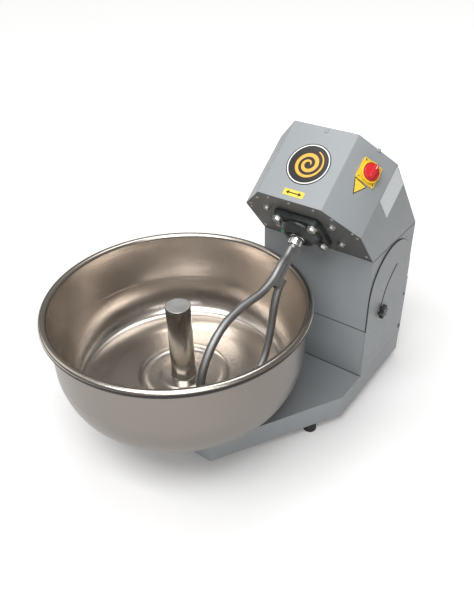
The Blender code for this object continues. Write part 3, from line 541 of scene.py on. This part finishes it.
def build_fork():
    for name, front in (("fork_tine_front", True), ("fork_tine_rear", False)):
        path = []
        for out, away in tine_profile(front):
            angle = tine_angle(front, out)
            path.append(Vector((away * math.cos(angle), -away * math.sin(angle), -out)))
        tine = tube(name + "_finished", path, TINE_R, LOOKS["fork_steel"])
        settle(tine, DRIVE, "fork", [name])
    build_weld("front_weld", WELD_TURN, 0.092, 0.112)
    build_weld("rear_weld", TINE_TURN + math.pi, 0.114, 0.134)
    low, high = local_box("fork_shaft", DRIVE)
    inside = SLEEVE_R - 0.0026
    mouth = low.z
    profile = [(0, mouth + 0.030), (inside, mouth + 0.030), (inside, mouth + 0.0006),
               (inside + 0.0006, mouth), (SLEEVE_R - 0.0006, mouth), (SLEEVE_R, mouth + 0.0006),
               (SLEEVE_R, SLEEVE_TOP - 0.0008), (SLEEVE_R - 0.0008, SLEEVE_TOP),
               (JOURNAL_R, SLEEVE_TOP), (JOURNAL_R, high.z), (0, high.z)]
    shaft = turned("fork_shaft_finished", profile, LOOKS["fork_steel"])
    settle(shaft, DRIVE, "fork", ["fork_shaft"])
    core = turned("sleeve_shade", [(0, mouth + 0.0060), (inside, mouth + 0.0060),
                                   (inside, mouth + 0.0090), (0, mouth + 0.0090)], SHADE)
    settle(core, DRIVE, "fork")


def build_weld(name, angle, start, end):
    """Short weld runs in the grooves between the sleeve and a tine."""
    steps = 24
    groove = 0.0044
    for side in (-1, 1):
        path = []
        for step in range(steps + 1):
            out = start + (end - start) * step / steps
            away = SLEEVE_R + 0.0016 + 0.0003 * math.sin(step * 2.1)
            off = side * groove
            x = away * math.cos(angle) - off * math.sin(angle)
            y = -away * math.sin(angle) - off * math.cos(angle)
            path.append(Vector((x, y, -out)))
        run = tube(f"{name}_{'ab'[side > 0]}", path, 0.0020, LOOKS["fork_steel"], 12)
        settle(run, DRIVE, "fork")


# ---------------------------------------------------------------- flange bearing and fasteners
FLANGE_BOLT = 0.0385
FLANGE_FACE = -0.0130


def build_flange():
    low, high = local_box("flange_bearing", DRIVE)
    half = high.x
    face = slab("flange_casting", rounded_rectangle(half, half, 0.012), FLANGE_FACE, high.z,
                LOOKS["green_casting"])
    soften(face, 0.0022, 3)
    settle(face, DRIVE, "head", ["flange_bearing"])
    bore = 0.0172
    out = low.z
    back = -0.008
    profile = [(bore, back), (0.0410, back), (0.0410, FLANGE_FACE - 0.001), (0.0402, -0.0175),
               (0.0385, -0.0205), (0.0345, -0.0235), (0.0320, -0.0282), (0.0305, out + 0.0006),
               (0.0290, out), (0.0262, out), (0.0252, out + 0.0014), (0.0246, -0.0262),
               (bore + 0.0004, -0.0256), (bore, -0.0250)]
    boss = turned("flange_boss", profile, LOOKS["green_casting"], closed=True)
    settle(boss, DRIVE, "head")
    for x in (-FLANGE_BOLT, FLANGE_BOLT):
        for y in (-FLANGE_BOLT, FLANGE_BOLT):
            pad = turned("flange_pad", [(0.0068, -0.0125), (0.0128, -0.0125), (0.0122, -0.0146),
                                        (0.0112, -0.0150), (0.0068, -0.0150)],
                         LOOKS["green_casting"], closed=True, steps=40)
            settle(pad, DRIVE @ Matrix.Translation((x, y, 0)), "head")


def build_bolt(name, place, head_r, head_h, washer_r, nodes=()):
    """A hexagon head with its chamfer, on a washer. Local z points into the face."""
    washer_t = 0.0012
    corner_share = 0.985
    sixth = math.pi / 3
    washer = turned(name + "_washer", [(0, -washer_t), (washer_r - 0.0003, -washer_t),
                                       (washer_r, -washer_t + 0.0003), (washer_r, 0), (0, 0)],
                    LOOKS["zinc_plate"], steps=40)
    settle(washer, place, "head")
    bm = bmesh.new()
    rings = ((-washer_t, 1.0), (-washer_t - head_h * 0.82, 1.0), (-washer_t - head_h, 0.86))
    steps = 48
    sections = []
    for height, share in rings:
        section = []
        for step in range(steps):
            angle = 2 * math.pi * step / steps
            from_flat = (angle + sixth / 2) % sixth - sixth / 2
            flat = head_r * math.cos(sixth / 2) / math.cos(from_flat)
            reach = min(flat, head_r * corner_share * share)
            section.append(bm.verts.new((reach * math.cos(angle), reach * math.sin(angle), height)))
        sections.append(section)
    for first, second in zip(sections, sections[1:]):
        for step in range(steps):
            after = (step + 1) % steps
            bm.faces.new((first[step], first[after], second[after], second[step]))
    bm.faces.new(sections[0])
    bm.faces.new(sections[-1])
    head = to_object(name + "_head", bm, LOOKS["zinc_plate"], 25.0)
    settle(head, place, "head", nodes)


def build_fasteners():
    index = 0
    for x in (-FLANGE_BOLT, FLANGE_BOLT):
        for y in (-FLANGE_BOLT, FLANGE_BOLT):
            index += 1
            place = DRIVE @ Matrix.Translation((x, y, FLANGE_FACE - 0.002))
            build_bolt(f"flange_bolt_{index}", place, 0.0092, 0.0062, 0.0105,
                       [f"flange_bolt_{index}"])
    plate_bolt = (0.072, 0.037)
    for side in (-1, 1):
        for row, y in enumerate((-plate_bolt[1], plate_bolt[1])):
            place = DRIVE @ Matrix.Translation((side * plate_bolt[0], y, 0.0005))
            build_bolt(f"plate_bolt_{'ab'[side > 0]}{row + 1}", place, 0.0068, 0.0046, 0.0080)


def screw_spots():
    """Small screws along the plate's rim: its sides, its slants and its top edge."""
    half = COVER_HIGH.x
    edge = 0.0105
    low_y = local_box("front_plate", DRIVE)[1].y
    top_row = COVER_LOW.y + edge + 0.0020
    spots = []
    for side in (-1, 1):
        spots.append((side * (half - edge), low_y - 0.0166))
        spots.append((side * (half - edge), PLATE_FOLD_Y + 0.0080))
        spots.append((side * (half - edge - 0.0060), PLATE_FOLD_Y - 0.0080))
        spots.append((side * (COVER_TOP_HALF + 0.0130), COVER_LOW.y + 0.0290))
        spots.append((side * (COVER_TOP_HALF - 0.0200), top_row))
    spots.append((-0.0037, top_row))
    return spots


def build_rim_screws():
    radius = 0.0028
    profile = [(0, -0.0017), (0.0012, -0.0017), (0.0021, -0.0014), (radius, -0.0006),
               (radius, 0), (0, 0)]
    for index, (x, y) in enumerate(screw_spots()):
        screw = turned(f"rim_screw_{index + 1}", profile, LOOKS["zinc_plate"], steps=24)
        settle(screw, DRIVE @ Matrix.Translation((x, y, 0.0005)), "head")


def build_cover_screws():
    """Two low screw heads near the rear edge of the cover: on its top and on its right slant."""
    rearwards = DRIVE_TURN @ Vector((0, 0, 1))
    upwards = DRIVE_TURN @ Vector((0, -1, 0))
    slantwards = SWITCH.to_3x3() @ Vector((0, 0, 1))
    facing_slant = DRIVE_TURN.transposed() @ slantwards
    down_slant = Vector((-facing_slant.y, facing_slant.x, 0))
    corner = Vector((COVER_TOP_HALF, COVER_LOW.y, 0))
    top_spot = Vector((0.0050, COVER_LOW.y, 0.1520))
    slant_spot = corner + down_slant * 0.0500 + Vector((0, 0, 0.1585))
    profile = [(0, 0.0022), (0.0020, 0.0020), (0.0036, 0.0012), (0.0042, 0.0), (0, 0.0)]
    for name, spot, facing in (("top_cover_screw", top_spot, upwards),
                               ("slant_cover_screw", slant_spot, slantwards)):
        place = axes_matrix(DRIVE @ spot, rearwards.cross(facing), rearwards, facing)
        screw = turned(name, profile, LOOKS["satin_grey_paint"], steps=24)
        settle(screw, place, "head")


def build_bearing_insert():
    """The polished collar on the shaft and the dark seal behind it in the boss's mouth."""
    low, high = local_box("shaft_collar", DRIVE)
    bore = JOURNAL_R + 0.0003
    shoulder = 0.0160
    profile = [(bore, low.z), (COLLAR_R - 0.0008, low.z), (COLLAR_R - 0.0002, low.z + 0.0004),
               (COLLAR_R, low.z + 0.0012), (COLLAR_R, -0.0300), (shoulder, -0.0295),
               (shoulder, high.z), (bore, high.z)]
    collar = turned("shaft_collar_finished", profile, LOOKS["bearing_chrome"], closed=True)
    settle(collar, DRIVE, "fork", ["shaft_collar"])
    seal = turned("bearing_seal", [(0.0165, -0.0262), (0.0238, -0.0266), (0.0243, -0.0255),
                                   (0.0165, -0.0250)], LOOKS["black_rubber"], closed=True)
    settle(seal, DRIVE, "head")


# ---------------------------------------------------------------- switch
def build_switch():
    plate_low, plate_high = local_box("switch_plate", SWITCH)
    half = plate_high.x
    plate = slab("switch_plate_finished", rounded_rectangle(half, half, 0.003), plate_low.z,
                 plate_high.z, LOOKS["yellow_plastic"])
    soften(plate, 0.0006, 3)
    settle(plate, SWITCH, "head", ["switch_plate"])
    for x in (-1, 1):
        for y in (-1, 1):
            spot = Matrix.Translation((x * (half - 0.0045), y * (half - 0.0045), plate_high.z))
            screw = turned("switch_screw", [(0, 0.0004), (0.0016, 0.0004), (0.0022, -0.0002),
                                            (0, -0.0002)], LOOKS["zinc_plate"], steps=24)
            settle(screw, SWITCH @ spot, "head")
    low, high = local_box("switch_ring", SWITCH)
    outer = high.x
    inner = 0.0170
    top = high.z
    profile = [(inner, low.z), (outer, low.z), (outer - 0.0002, top - 0.0012),
               (outer - 0.0012, top), (inner + 0.0004, top), (inner, top - 0.0004)]
    ring = turned("switch_ring_finished", profile, LOOKS["yellow_plastic"], closed=True)
    settle(ring, SWITCH, "head", ["switch_ring"])
    build_switch_knob()


def build_switch_knob():
    low, high = local_box("switch_knob", SWITCH)
    radius = 0.0160
    face = 0.0135
    profile = [(0, low.z), (0.0040, low.z), (0.0040, 0.0042), (radius, 0.0042),
               (radius, face - 0.0016), (radius - 0.0005, face - 0.0006),
               (radius - 0.0016, face), (0, face)]
    knob = turned("switch_knob_finished", profile, LOOKS["red_plastic"])
    settle(knob, SWITCH, "switch_knob", ["switch_knob"])
    grip = slab("switch_grip", rounded_rectangle(0.0040, 0.0135, 0.0030), face - 0.0010, high.z,
                LOOKS["red_plastic"])
    soften(grip, 0.0010, 3)
    settle(grip, SWITCH, "switch_knob")
    mark = slab("switch_mark", rounded_rectangle(0.0007, 0.0035, 0.0006), high.z - 0.0001,
                high.z + 0.00012, FILMS["white"])
    settle(mark, SWITCH @ Matrix.Translation((0, 0.0080, 0)), "switch_knob")


# ---------------------------------------------------------------- labels
def film(name, outline, place, look, body="head", height=LABEL_T):
    """A thin printed film: local x and y lie in the surface, local z points away from it."""
    made = slab(name, outline, 0.0, height, FILMS[look])
    return settle(made, place, body)


def top_place(x, back):
    """On the cover's top: local x across, local y towards the rear."""
    rearwards = DRIVE_TURN @ Vector((0, 0, 1))
    outwards = DRIVE_TURN @ Vector((0, -1, 0))
    origin = DRIVE @ Vector((x, COVER_LOW.y - LIFT, back))
    return axes_matrix(origin, rearwards.cross(outwards), rearwards, outwards)


def spiral_ribbon(turns, inner, outer, width):
    """A flat spiral whose band is widest halfway along."""
    steps = 120
    outside = []
    inside = []
    for step in range(steps + 1):
        share = step / steps
        angle = 2 * math.pi * turns * share
        middle = inner + (outer - inner) * share
        half = width * (0.25 + 0.75 * math.sin(math.pi * share)) / 2
        for points, radius in ((outside, middle + half), (inside, middle - half)):
            points.append((radius * math.cos(angle), radius * math.sin(angle)))
    return outside, inside


def build_badge():
    """A plain round badge: a dark disc with a light ring and an amber swirl."""
    place = top_place(0.0030, 0.0790)
    radius = 0.0430
    film("badge_disc", arc((0, 0), radius, 0, 355, 71), place, "black")
    raised = LABEL_T + 0.0002
    ring_in, ring_out = radius - 0.0042, radius - 0.0020
    band = turned("badge_rim", [(ring_in, LABEL_T), (ring_out, LABEL_T), (ring_out, raised),
                                (ring_in, raised)], FILMS["white"], closed=True)
    settle(band, place, "head")
    outside, inside = spiral_ribbon(2.2, 0.004, 0.030, 0.0075)
    bm = bmesh.new()
    rows = []
    for height in (LABEL_T, raised):
        rows.append([[bm.verts.new((x, y, height)) for x, y in edge] for edge in (outside, inside)])
    (low_out, low_in), (top_out, top_in) = rows
    last = len(outside) - 1
    for index in range(last):
        after = index + 1
        bm.faces.new((top_out[index], top_out[after], top_in[after], top_in[index]))
        bm.faces.new((low_out[index], low_in[index], low_in[after], low_out[after]))
        bm.faces.new((low_out[index], low_out[after], top_out[after], top_out[index]))
        bm.faces.new((low_in[after], low_in[index], top_in[index], top_in[after]))
    for end in (0, last):
        bm.faces.new((low_out[end], top_out[end], top_in[end], low_in[end]))
    swirl = to_object("badge_swirl", bm, FILMS["amber"])
    settle(swirl, place, "head")


def build_arrow_label():
    """A yellow strip with a plain two-headed arrow: which way the bowl may turn."""
    place = top_place(0.0035, 0.0163)
    film("arrow_label", rounded_rectangle(0.0213, 0.0064, 0.0008), place, "yellow")
    tip = 0.0165
    neck = 0.0100
    barb = 0.0040
    shaft = 0.0011
    right = [(neck, -shaft), (neck, -barb), (tip, 0), (neck, barb), (neck, shaft)]
    left = [(-x, -y) for x, y in right]
    mark = slab("arrow_mark", right + left, LABEL_T, LABEL_T + 0.0001, FILMS["black"])
    settle(mark, place, "head")


def build_triangle_label():
    """A plain yellow triangle with a dark border, beside the switch."""
    corners = [Vector((-0.0206, -0.0206)), Vector((-0.0088, -0.0505)), Vector((0.0106, -0.0245))]
    center = sum(corners, Vector((0, 0))) / 3
    for name, share, base, look in (("triangle_border", 1.0, 0.0, "black"),
                                    ("triangle_field", 0.84, LABEL_T, "yellow")):
        outline = [tuple(center + (corner - center) * share) for corner in corners]
        made = slab(name, outline, base + LIFT, base + LIFT + 0.0002, FILMS[look])
        settle(made, SWITCH, "head")


def build_side_label():
    """A blank silver label with ruled lines on the cover's right-hand side."""
    low, high = Vector((-0.0230, 0.0800)), Vector((0.0440, 0.1575))
    middle = (low + high) / 2
    half = (high - low) / 2
    origin = DRIVE @ Vector((COVER_HIGH.x + LIFT, middle.x, middle.y))
    rearwards = DRIVE_TURN @ Vector((0, 0, 1))
    outwards = Vector((1, 0, 0))
    place = axes_matrix(origin, rearwards, outwards.cross(rearwards), outwards)
    film("side_label", rounded_rectangle(half.y, half.x, 0.002), place, "silver")
    for row in range(5):
        y = -half.x + 0.011 + row * 0.011
        line = Matrix.Translation((0, y, LABEL_T))
        film(f"side_label_line_{row + 1}", rounded_rectangle(half.y - 0.006, 0.0005, 0.0004),
             place @ line, "white", height=0.0001)


# ---------------------------------------------------------------- clamp knob, feet, small marks
def build_star_knob():
    low, high = local_box("star_knob", KNOB)
    lobes = 6
    steps = 180
    base = low.z
    top = high.z
    outer = 0.0160
    mean_share, lobe_share = 0.81, 0.19
    sections = ((base, 0.93), (base + 0.0008, 0.985), (base + 0.0020, 1.0), (top - 0.0030, 1.0),
                (top - 0.0012, 0.965), (top, 0.86))
    bm = bmesh.new()
    rings = []
    for height, share in sections:
        ring = []
        for step in range(steps):
            angle = 2 * math.pi * step / steps
            reach = outer * share * (mean_share + lobe_share * math.cos(lobes * angle))
            ring.append(bm.verts.new((reach * math.cos(angle), reach * math.sin(angle), height)))
        rings.append(ring)
    for first, second in zip(rings, rings[1:]):
        for step in range(steps):
            after = (step + 1) % steps
            bm.faces.new((first[step], first[after], second[after], second[step]))
    bm.faces.new(rings[0])
    bm.faces.new(rings[-1])
    knob = to_object("star_knob_finished", bm, LOOKS["black_plastic"])
    settle(knob, KNOB, "clamp_knob", ["star_knob"])


def build_feet():
    for index in range(1, 7):
        low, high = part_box(f"foot_{index}")
        middle = (low + high) / 2
        top = 0.0250
        profile = [(0, 0.0004), (0.0060, 0.0), (0.0130, 0.0), (0.0143, 0.0008), (0.0149, 0.0025),
                   (0.0146, 0.0045), (0.0134, 0.0190), (0.0128, top - 0.0015), (0.0120, top),
                   (0.0070, top), (0.0070, top + 0.0012), (0, top + 0.0012)]
        foot = turned(f"foot_{index}_finished", profile, LOOKS["black_rubber"], steps=48)
        place = Matrix.Translation((middle.x, middle.y, 0))
        settle(foot, place, "root", [f"foot_{index}"])


def build_panel_screws():
    """A dark button screw and, below it, a larger plug near the rear edge of both panels."""
    from_rear = 0.0095
    up = Vector((0, 0, 1))
    for side in (-1, 1):
        outwards = Vector((side, 0, 0))
        for row, (height, size) in enumerate(((0.022, 0.0062), (0.116, 0.0036))):
            origin = (PIVOT.x + side * PANEL_REACH, PANEL_HIGH.y - from_rear, BASE_TOP + height)
            place = axes_matrix(origin, up.cross(outwards), up, outwards)
            profile = [(0, 0.0016), (size * 0.4, 0.0016), (size * 0.8, 0.0012), (size, 0.0002),
                       (size, 0), (0, 0)]
            screw = turned(f"panel_screw_{'ab'[side > 0]}{row + 1}", profile,
                           LOOKS["black_plastic"], steps=24)
            settle(screw, place, "root")


# ---------------------------------------------------------------- joints between the sheets
def build_arch_gap_shade():
    """Painted shade: a dark strip round the arch of the fixed panels, in the gap where the tilting hood slides
    past.
    """
    radius = 0.0985
    strip = 0.0013
    center = (PANEL_LOW.y + radius, PANEL_HIGH.z - radius)
    outer = [(PANEL_LOW.y - strip, FRONT_SEAM_Z)] + arc(center, radius + strip, 180, 40, 40)
    inner = [(PANEL_LOW.y + 0.0001, FRONT_SEAM_Z)] + arc(center, radius, 180, 40, 40)
    for name, side in (("left_arch_gap_shade", -1), ("right_arch_gap_shade", 1)):
        faces = sorted((side * (PANEL_REACH - 0.0024), side * (PANEL_REACH - 0.0003)))
        # a black strip in the rubber look, as painted shade that darkens the arch line
        seal = slab(name, outer + inner[::-1], faces[0], faces[1], LOOKS["black_rubber"])
        settle(seal, SIDEWAYS, "root")


def build_seams():
    """Shade in the joints between sheets: across the front, at the column's foot and along the head cover."""
    low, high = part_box("tilting_hood")
    front = low.y
    half = (high.x - low.x) / 2
    across = [(front - 0.0003, FRONT_SEAM_Z - 0.0004), (front + 0.0006, FRONT_SEAM_Z - 0.0004),
              (front + 0.0006, FRONT_SEAM_Z + 0.0011), (front - 0.0003, FRONT_SEAM_Z + 0.0011)]
    foot = [(front - 0.0012, BASE_TOP), (front + 0.0004, BASE_TOP),
            (front + 0.0004, BASE_TOP + 0.0014), (front - 0.0012, BASE_TOP + 0.0008)]
    for name, outline in (("front_seam", across), ("foot_seam", foot)):
        settle(slab(name, outline, -half, half, SHADE), SIDEWAYS, "root")
    cover_edge = high.z
    ends = (front + 0.0010, high.y - 0.0010)
    along = [(ends[0], cover_edge - 0.0005), (ends[1], cover_edge - 0.0005),
             (ends[1], cover_edge + 0.0006), (ends[0], cover_edge + 0.0006)]
    reach = COVER_HIGH.x
    for name, side in (("left_cover_seam", -1), ("right_cover_seam", 1)):
        faces = sorted((side * (reach - 0.0040), side * (reach + 0.0001)))
        strip = slab(name, along, faces[0], faces[1], SEAM_SHADE)
        settle(strip, SIDEWAYS, "head")


def build_slot_shade():
    """Painted shade: a dark strip that fills the curved slot, about the pivot."""
    center = (PIVOT.y, PIVOT.z)
    middle = 0.117
    half_width = 0.0031
    start, end = 172, 118
    band = arc(center, middle + half_width, start, end, 40)
    band += arc(center, middle - half_width, end, start, 40)
    slot_shade_strip = slab("slot_shade", band, PANEL_REACH - 0.0022, PANEL_REACH - 0.0004, SHADE)
    settle(slot_shade_strip, SIDEWAYS, "root")


# ---------------------------------------------------------------- sheet metal and inner pieces
SHEET_EDGES = {
    "head_cover": 0.0008, "front_plate": 0.0006, "tilting_hood": 0.0006, "base_pan": 0.0012,
    "right_side_panel": 0.0005, "left_side_panel": 0.0005, "lower_front_panel": 0.0006,
    "rear_panel": 0.0005, "bowl_beam": 0.0010,
}


def slot_of(node):
    for entry in frame["record"]["subparts"]:
        if entry["node"] == node:
            return entry["material_slot"]
    return None


def body_of(node):
    for name, nodes in frame["record"]["behaviour"]["bodies"].items():
        if node in nodes:
            return name
    return "root"


def build_sheet_metal():
    for node, width in SHEET_EDGES.items():
        slot = slot_of(node)
        piece = refined(node, LOOKS[slot], width)
        settle(piece, Matrix.Identity(4), body_of(node), [node])


def dress_cad_nodes():
    """Every CAD node gets the finished material of its slot, also those that are hidden."""
    for name, node in frame["nodes"].items():
        node.data.materials.clear()
        node.data.materials.append(LOOKS[slot_of(name)])


# ---------------------------------------------------------------- stage, light and camera
def build_stage():
    floor = slab("stage_floor", rounded_rectangle(9.0, 9.0, 1.0), -0.02, 0.0, stage_look())


def stage_look():
    """Pale floor with a painted glow that grows brighter away from the middle, like a lit studio sweep, but not
    towards the right, where it would flatten the shade on the machine's side."""
    look = Look("pale_floor", (0.86, 0.86, 0.86), 0.6)
    look.vary_color(look.noise(look.coords, 1.5, 2.0), 0.995, 1.005)
    look.set("Specular IOR Level", 0.2)
    distance = look.add("ShaderNodeVectorMath")
    distance.operation = "LENGTH"
    look.link(look.coords, distance.inputs[0])
    near_glow, far_glow = 0.12, 0.80
    far = look.spread(distance.outputs["Value"], near_glow, far_glow, 0.30, 1.5)
    split = look.add("ShaderNodeSeparateXYZ")
    look.link(look.coords, split.inputs["Vector"])
    right_share = 0.2
    leftwards = look.spread(split.outputs["X"], 1.0, right_share, 0.45, 1.10)
    glow = look.add("ShaderNodeMath")
    glow.operation = "MULTIPLY"
    look.link(far, glow.inputs[0])
    look.link(leftwards, glow.inputs[1])
    look.link(glow.outputs["Value"], look.shader.inputs["Emission Strength"])
    look.set("Emission Color", (1.0, 1.0, 1.0, 1.0))
    return look.material


def add_softbox(name, position, target, width, height, power, color=(1, 1, 1)):
    light = bpy.data.lights.new(name, "AREA")
    light.shape = "RECTANGLE"
    light.size = width
    light.size_y = height
    light.energy = power
    light.color = color
    made = bpy.data.objects.new(name, light)
    bpy.context.scene.collection.objects.link(made)
    made.location = position
    made.rotation_euler = (Vector(target) - Vector(position)).to_track_quat("-Z", "Y").to_euler()


def build_lights():
    world = bpy.data.worlds.new("studio")
    bpy.context.scene.world = world
    world.use_nodes = True
    background = world.node_tree.nodes["Background"]
    background.inputs["Color"].default_value = (1.0, 0.96, 0.92, 1.0)
    background.inputs["Strength"].default_value = 0.18
    middle = (0.05, 0.0, 0.3)
    add_softbox("front_softbox", (0.35, -1.1, 2.2), middle, 1.8, 0.9, 45.0)
    add_softbox("top_softbox", (-0.22, 0.33, 2.4), middle, 1.6, 0.9, 15.0)
    add_softbox("right_softbox", (1.5, -1.5, 1.55), middle, 2.0, 0.35, 9.0)
    add_softbox("left_softbox", (-2.2, -0.9, 1.9), middle, 1.2, 1.6, 6.0, (1.0, 0.97, 0.94))


def build_camera():
    """A little to the right of the front and well above, with a slight roll."""
    spot = (0.6789, -0.8244, 1.0280)
    camera = bpy.data.cameras.new("camera")
    camera.sensor_width = 36.0
    camera.lens = 37.73
    made = bpy.data.objects.new("camera", camera)
    bpy.context.scene.collection.objects.link(made)
    turn = math.radians(37.53)
    rise = math.radians(35.03)
    roll = math.radians(-1.56)
    back = Vector((math.sin(turn) * math.cos(rise), -math.cos(turn) * math.cos(rise), math.sin(rise)))
    right = Vector((math.cos(turn), math.sin(turn), 0))
    up = back.cross(right)
    rolled_right = right * math.cos(roll) + up * math.sin(roll)
    rolled_up = up * math.cos(roll) - right * math.sin(roll)
    made.matrix_world = axes_matrix(spot, rolled_right, rolled_up, back)
    bpy.context.scene.camera = made


dress_cad_nodes()
build_sheet_metal()
build_bowl()
build_post()
build_fork()
build_flange()
build_fasteners()
build_rim_screws()
build_bearing_insert()
build_switch()
build_badge()
build_arrow_label()
build_triangle_label()
build_side_label()
build_star_knob()
build_feet()
build_panel_screws()
build_arch_gap_shade()
build_seams()
build_slot_shade()
build_cover_screws()
build_stage()
build_lights()
build_camera()
bpy.context.scene.view_settings.view_transform = "Standard"
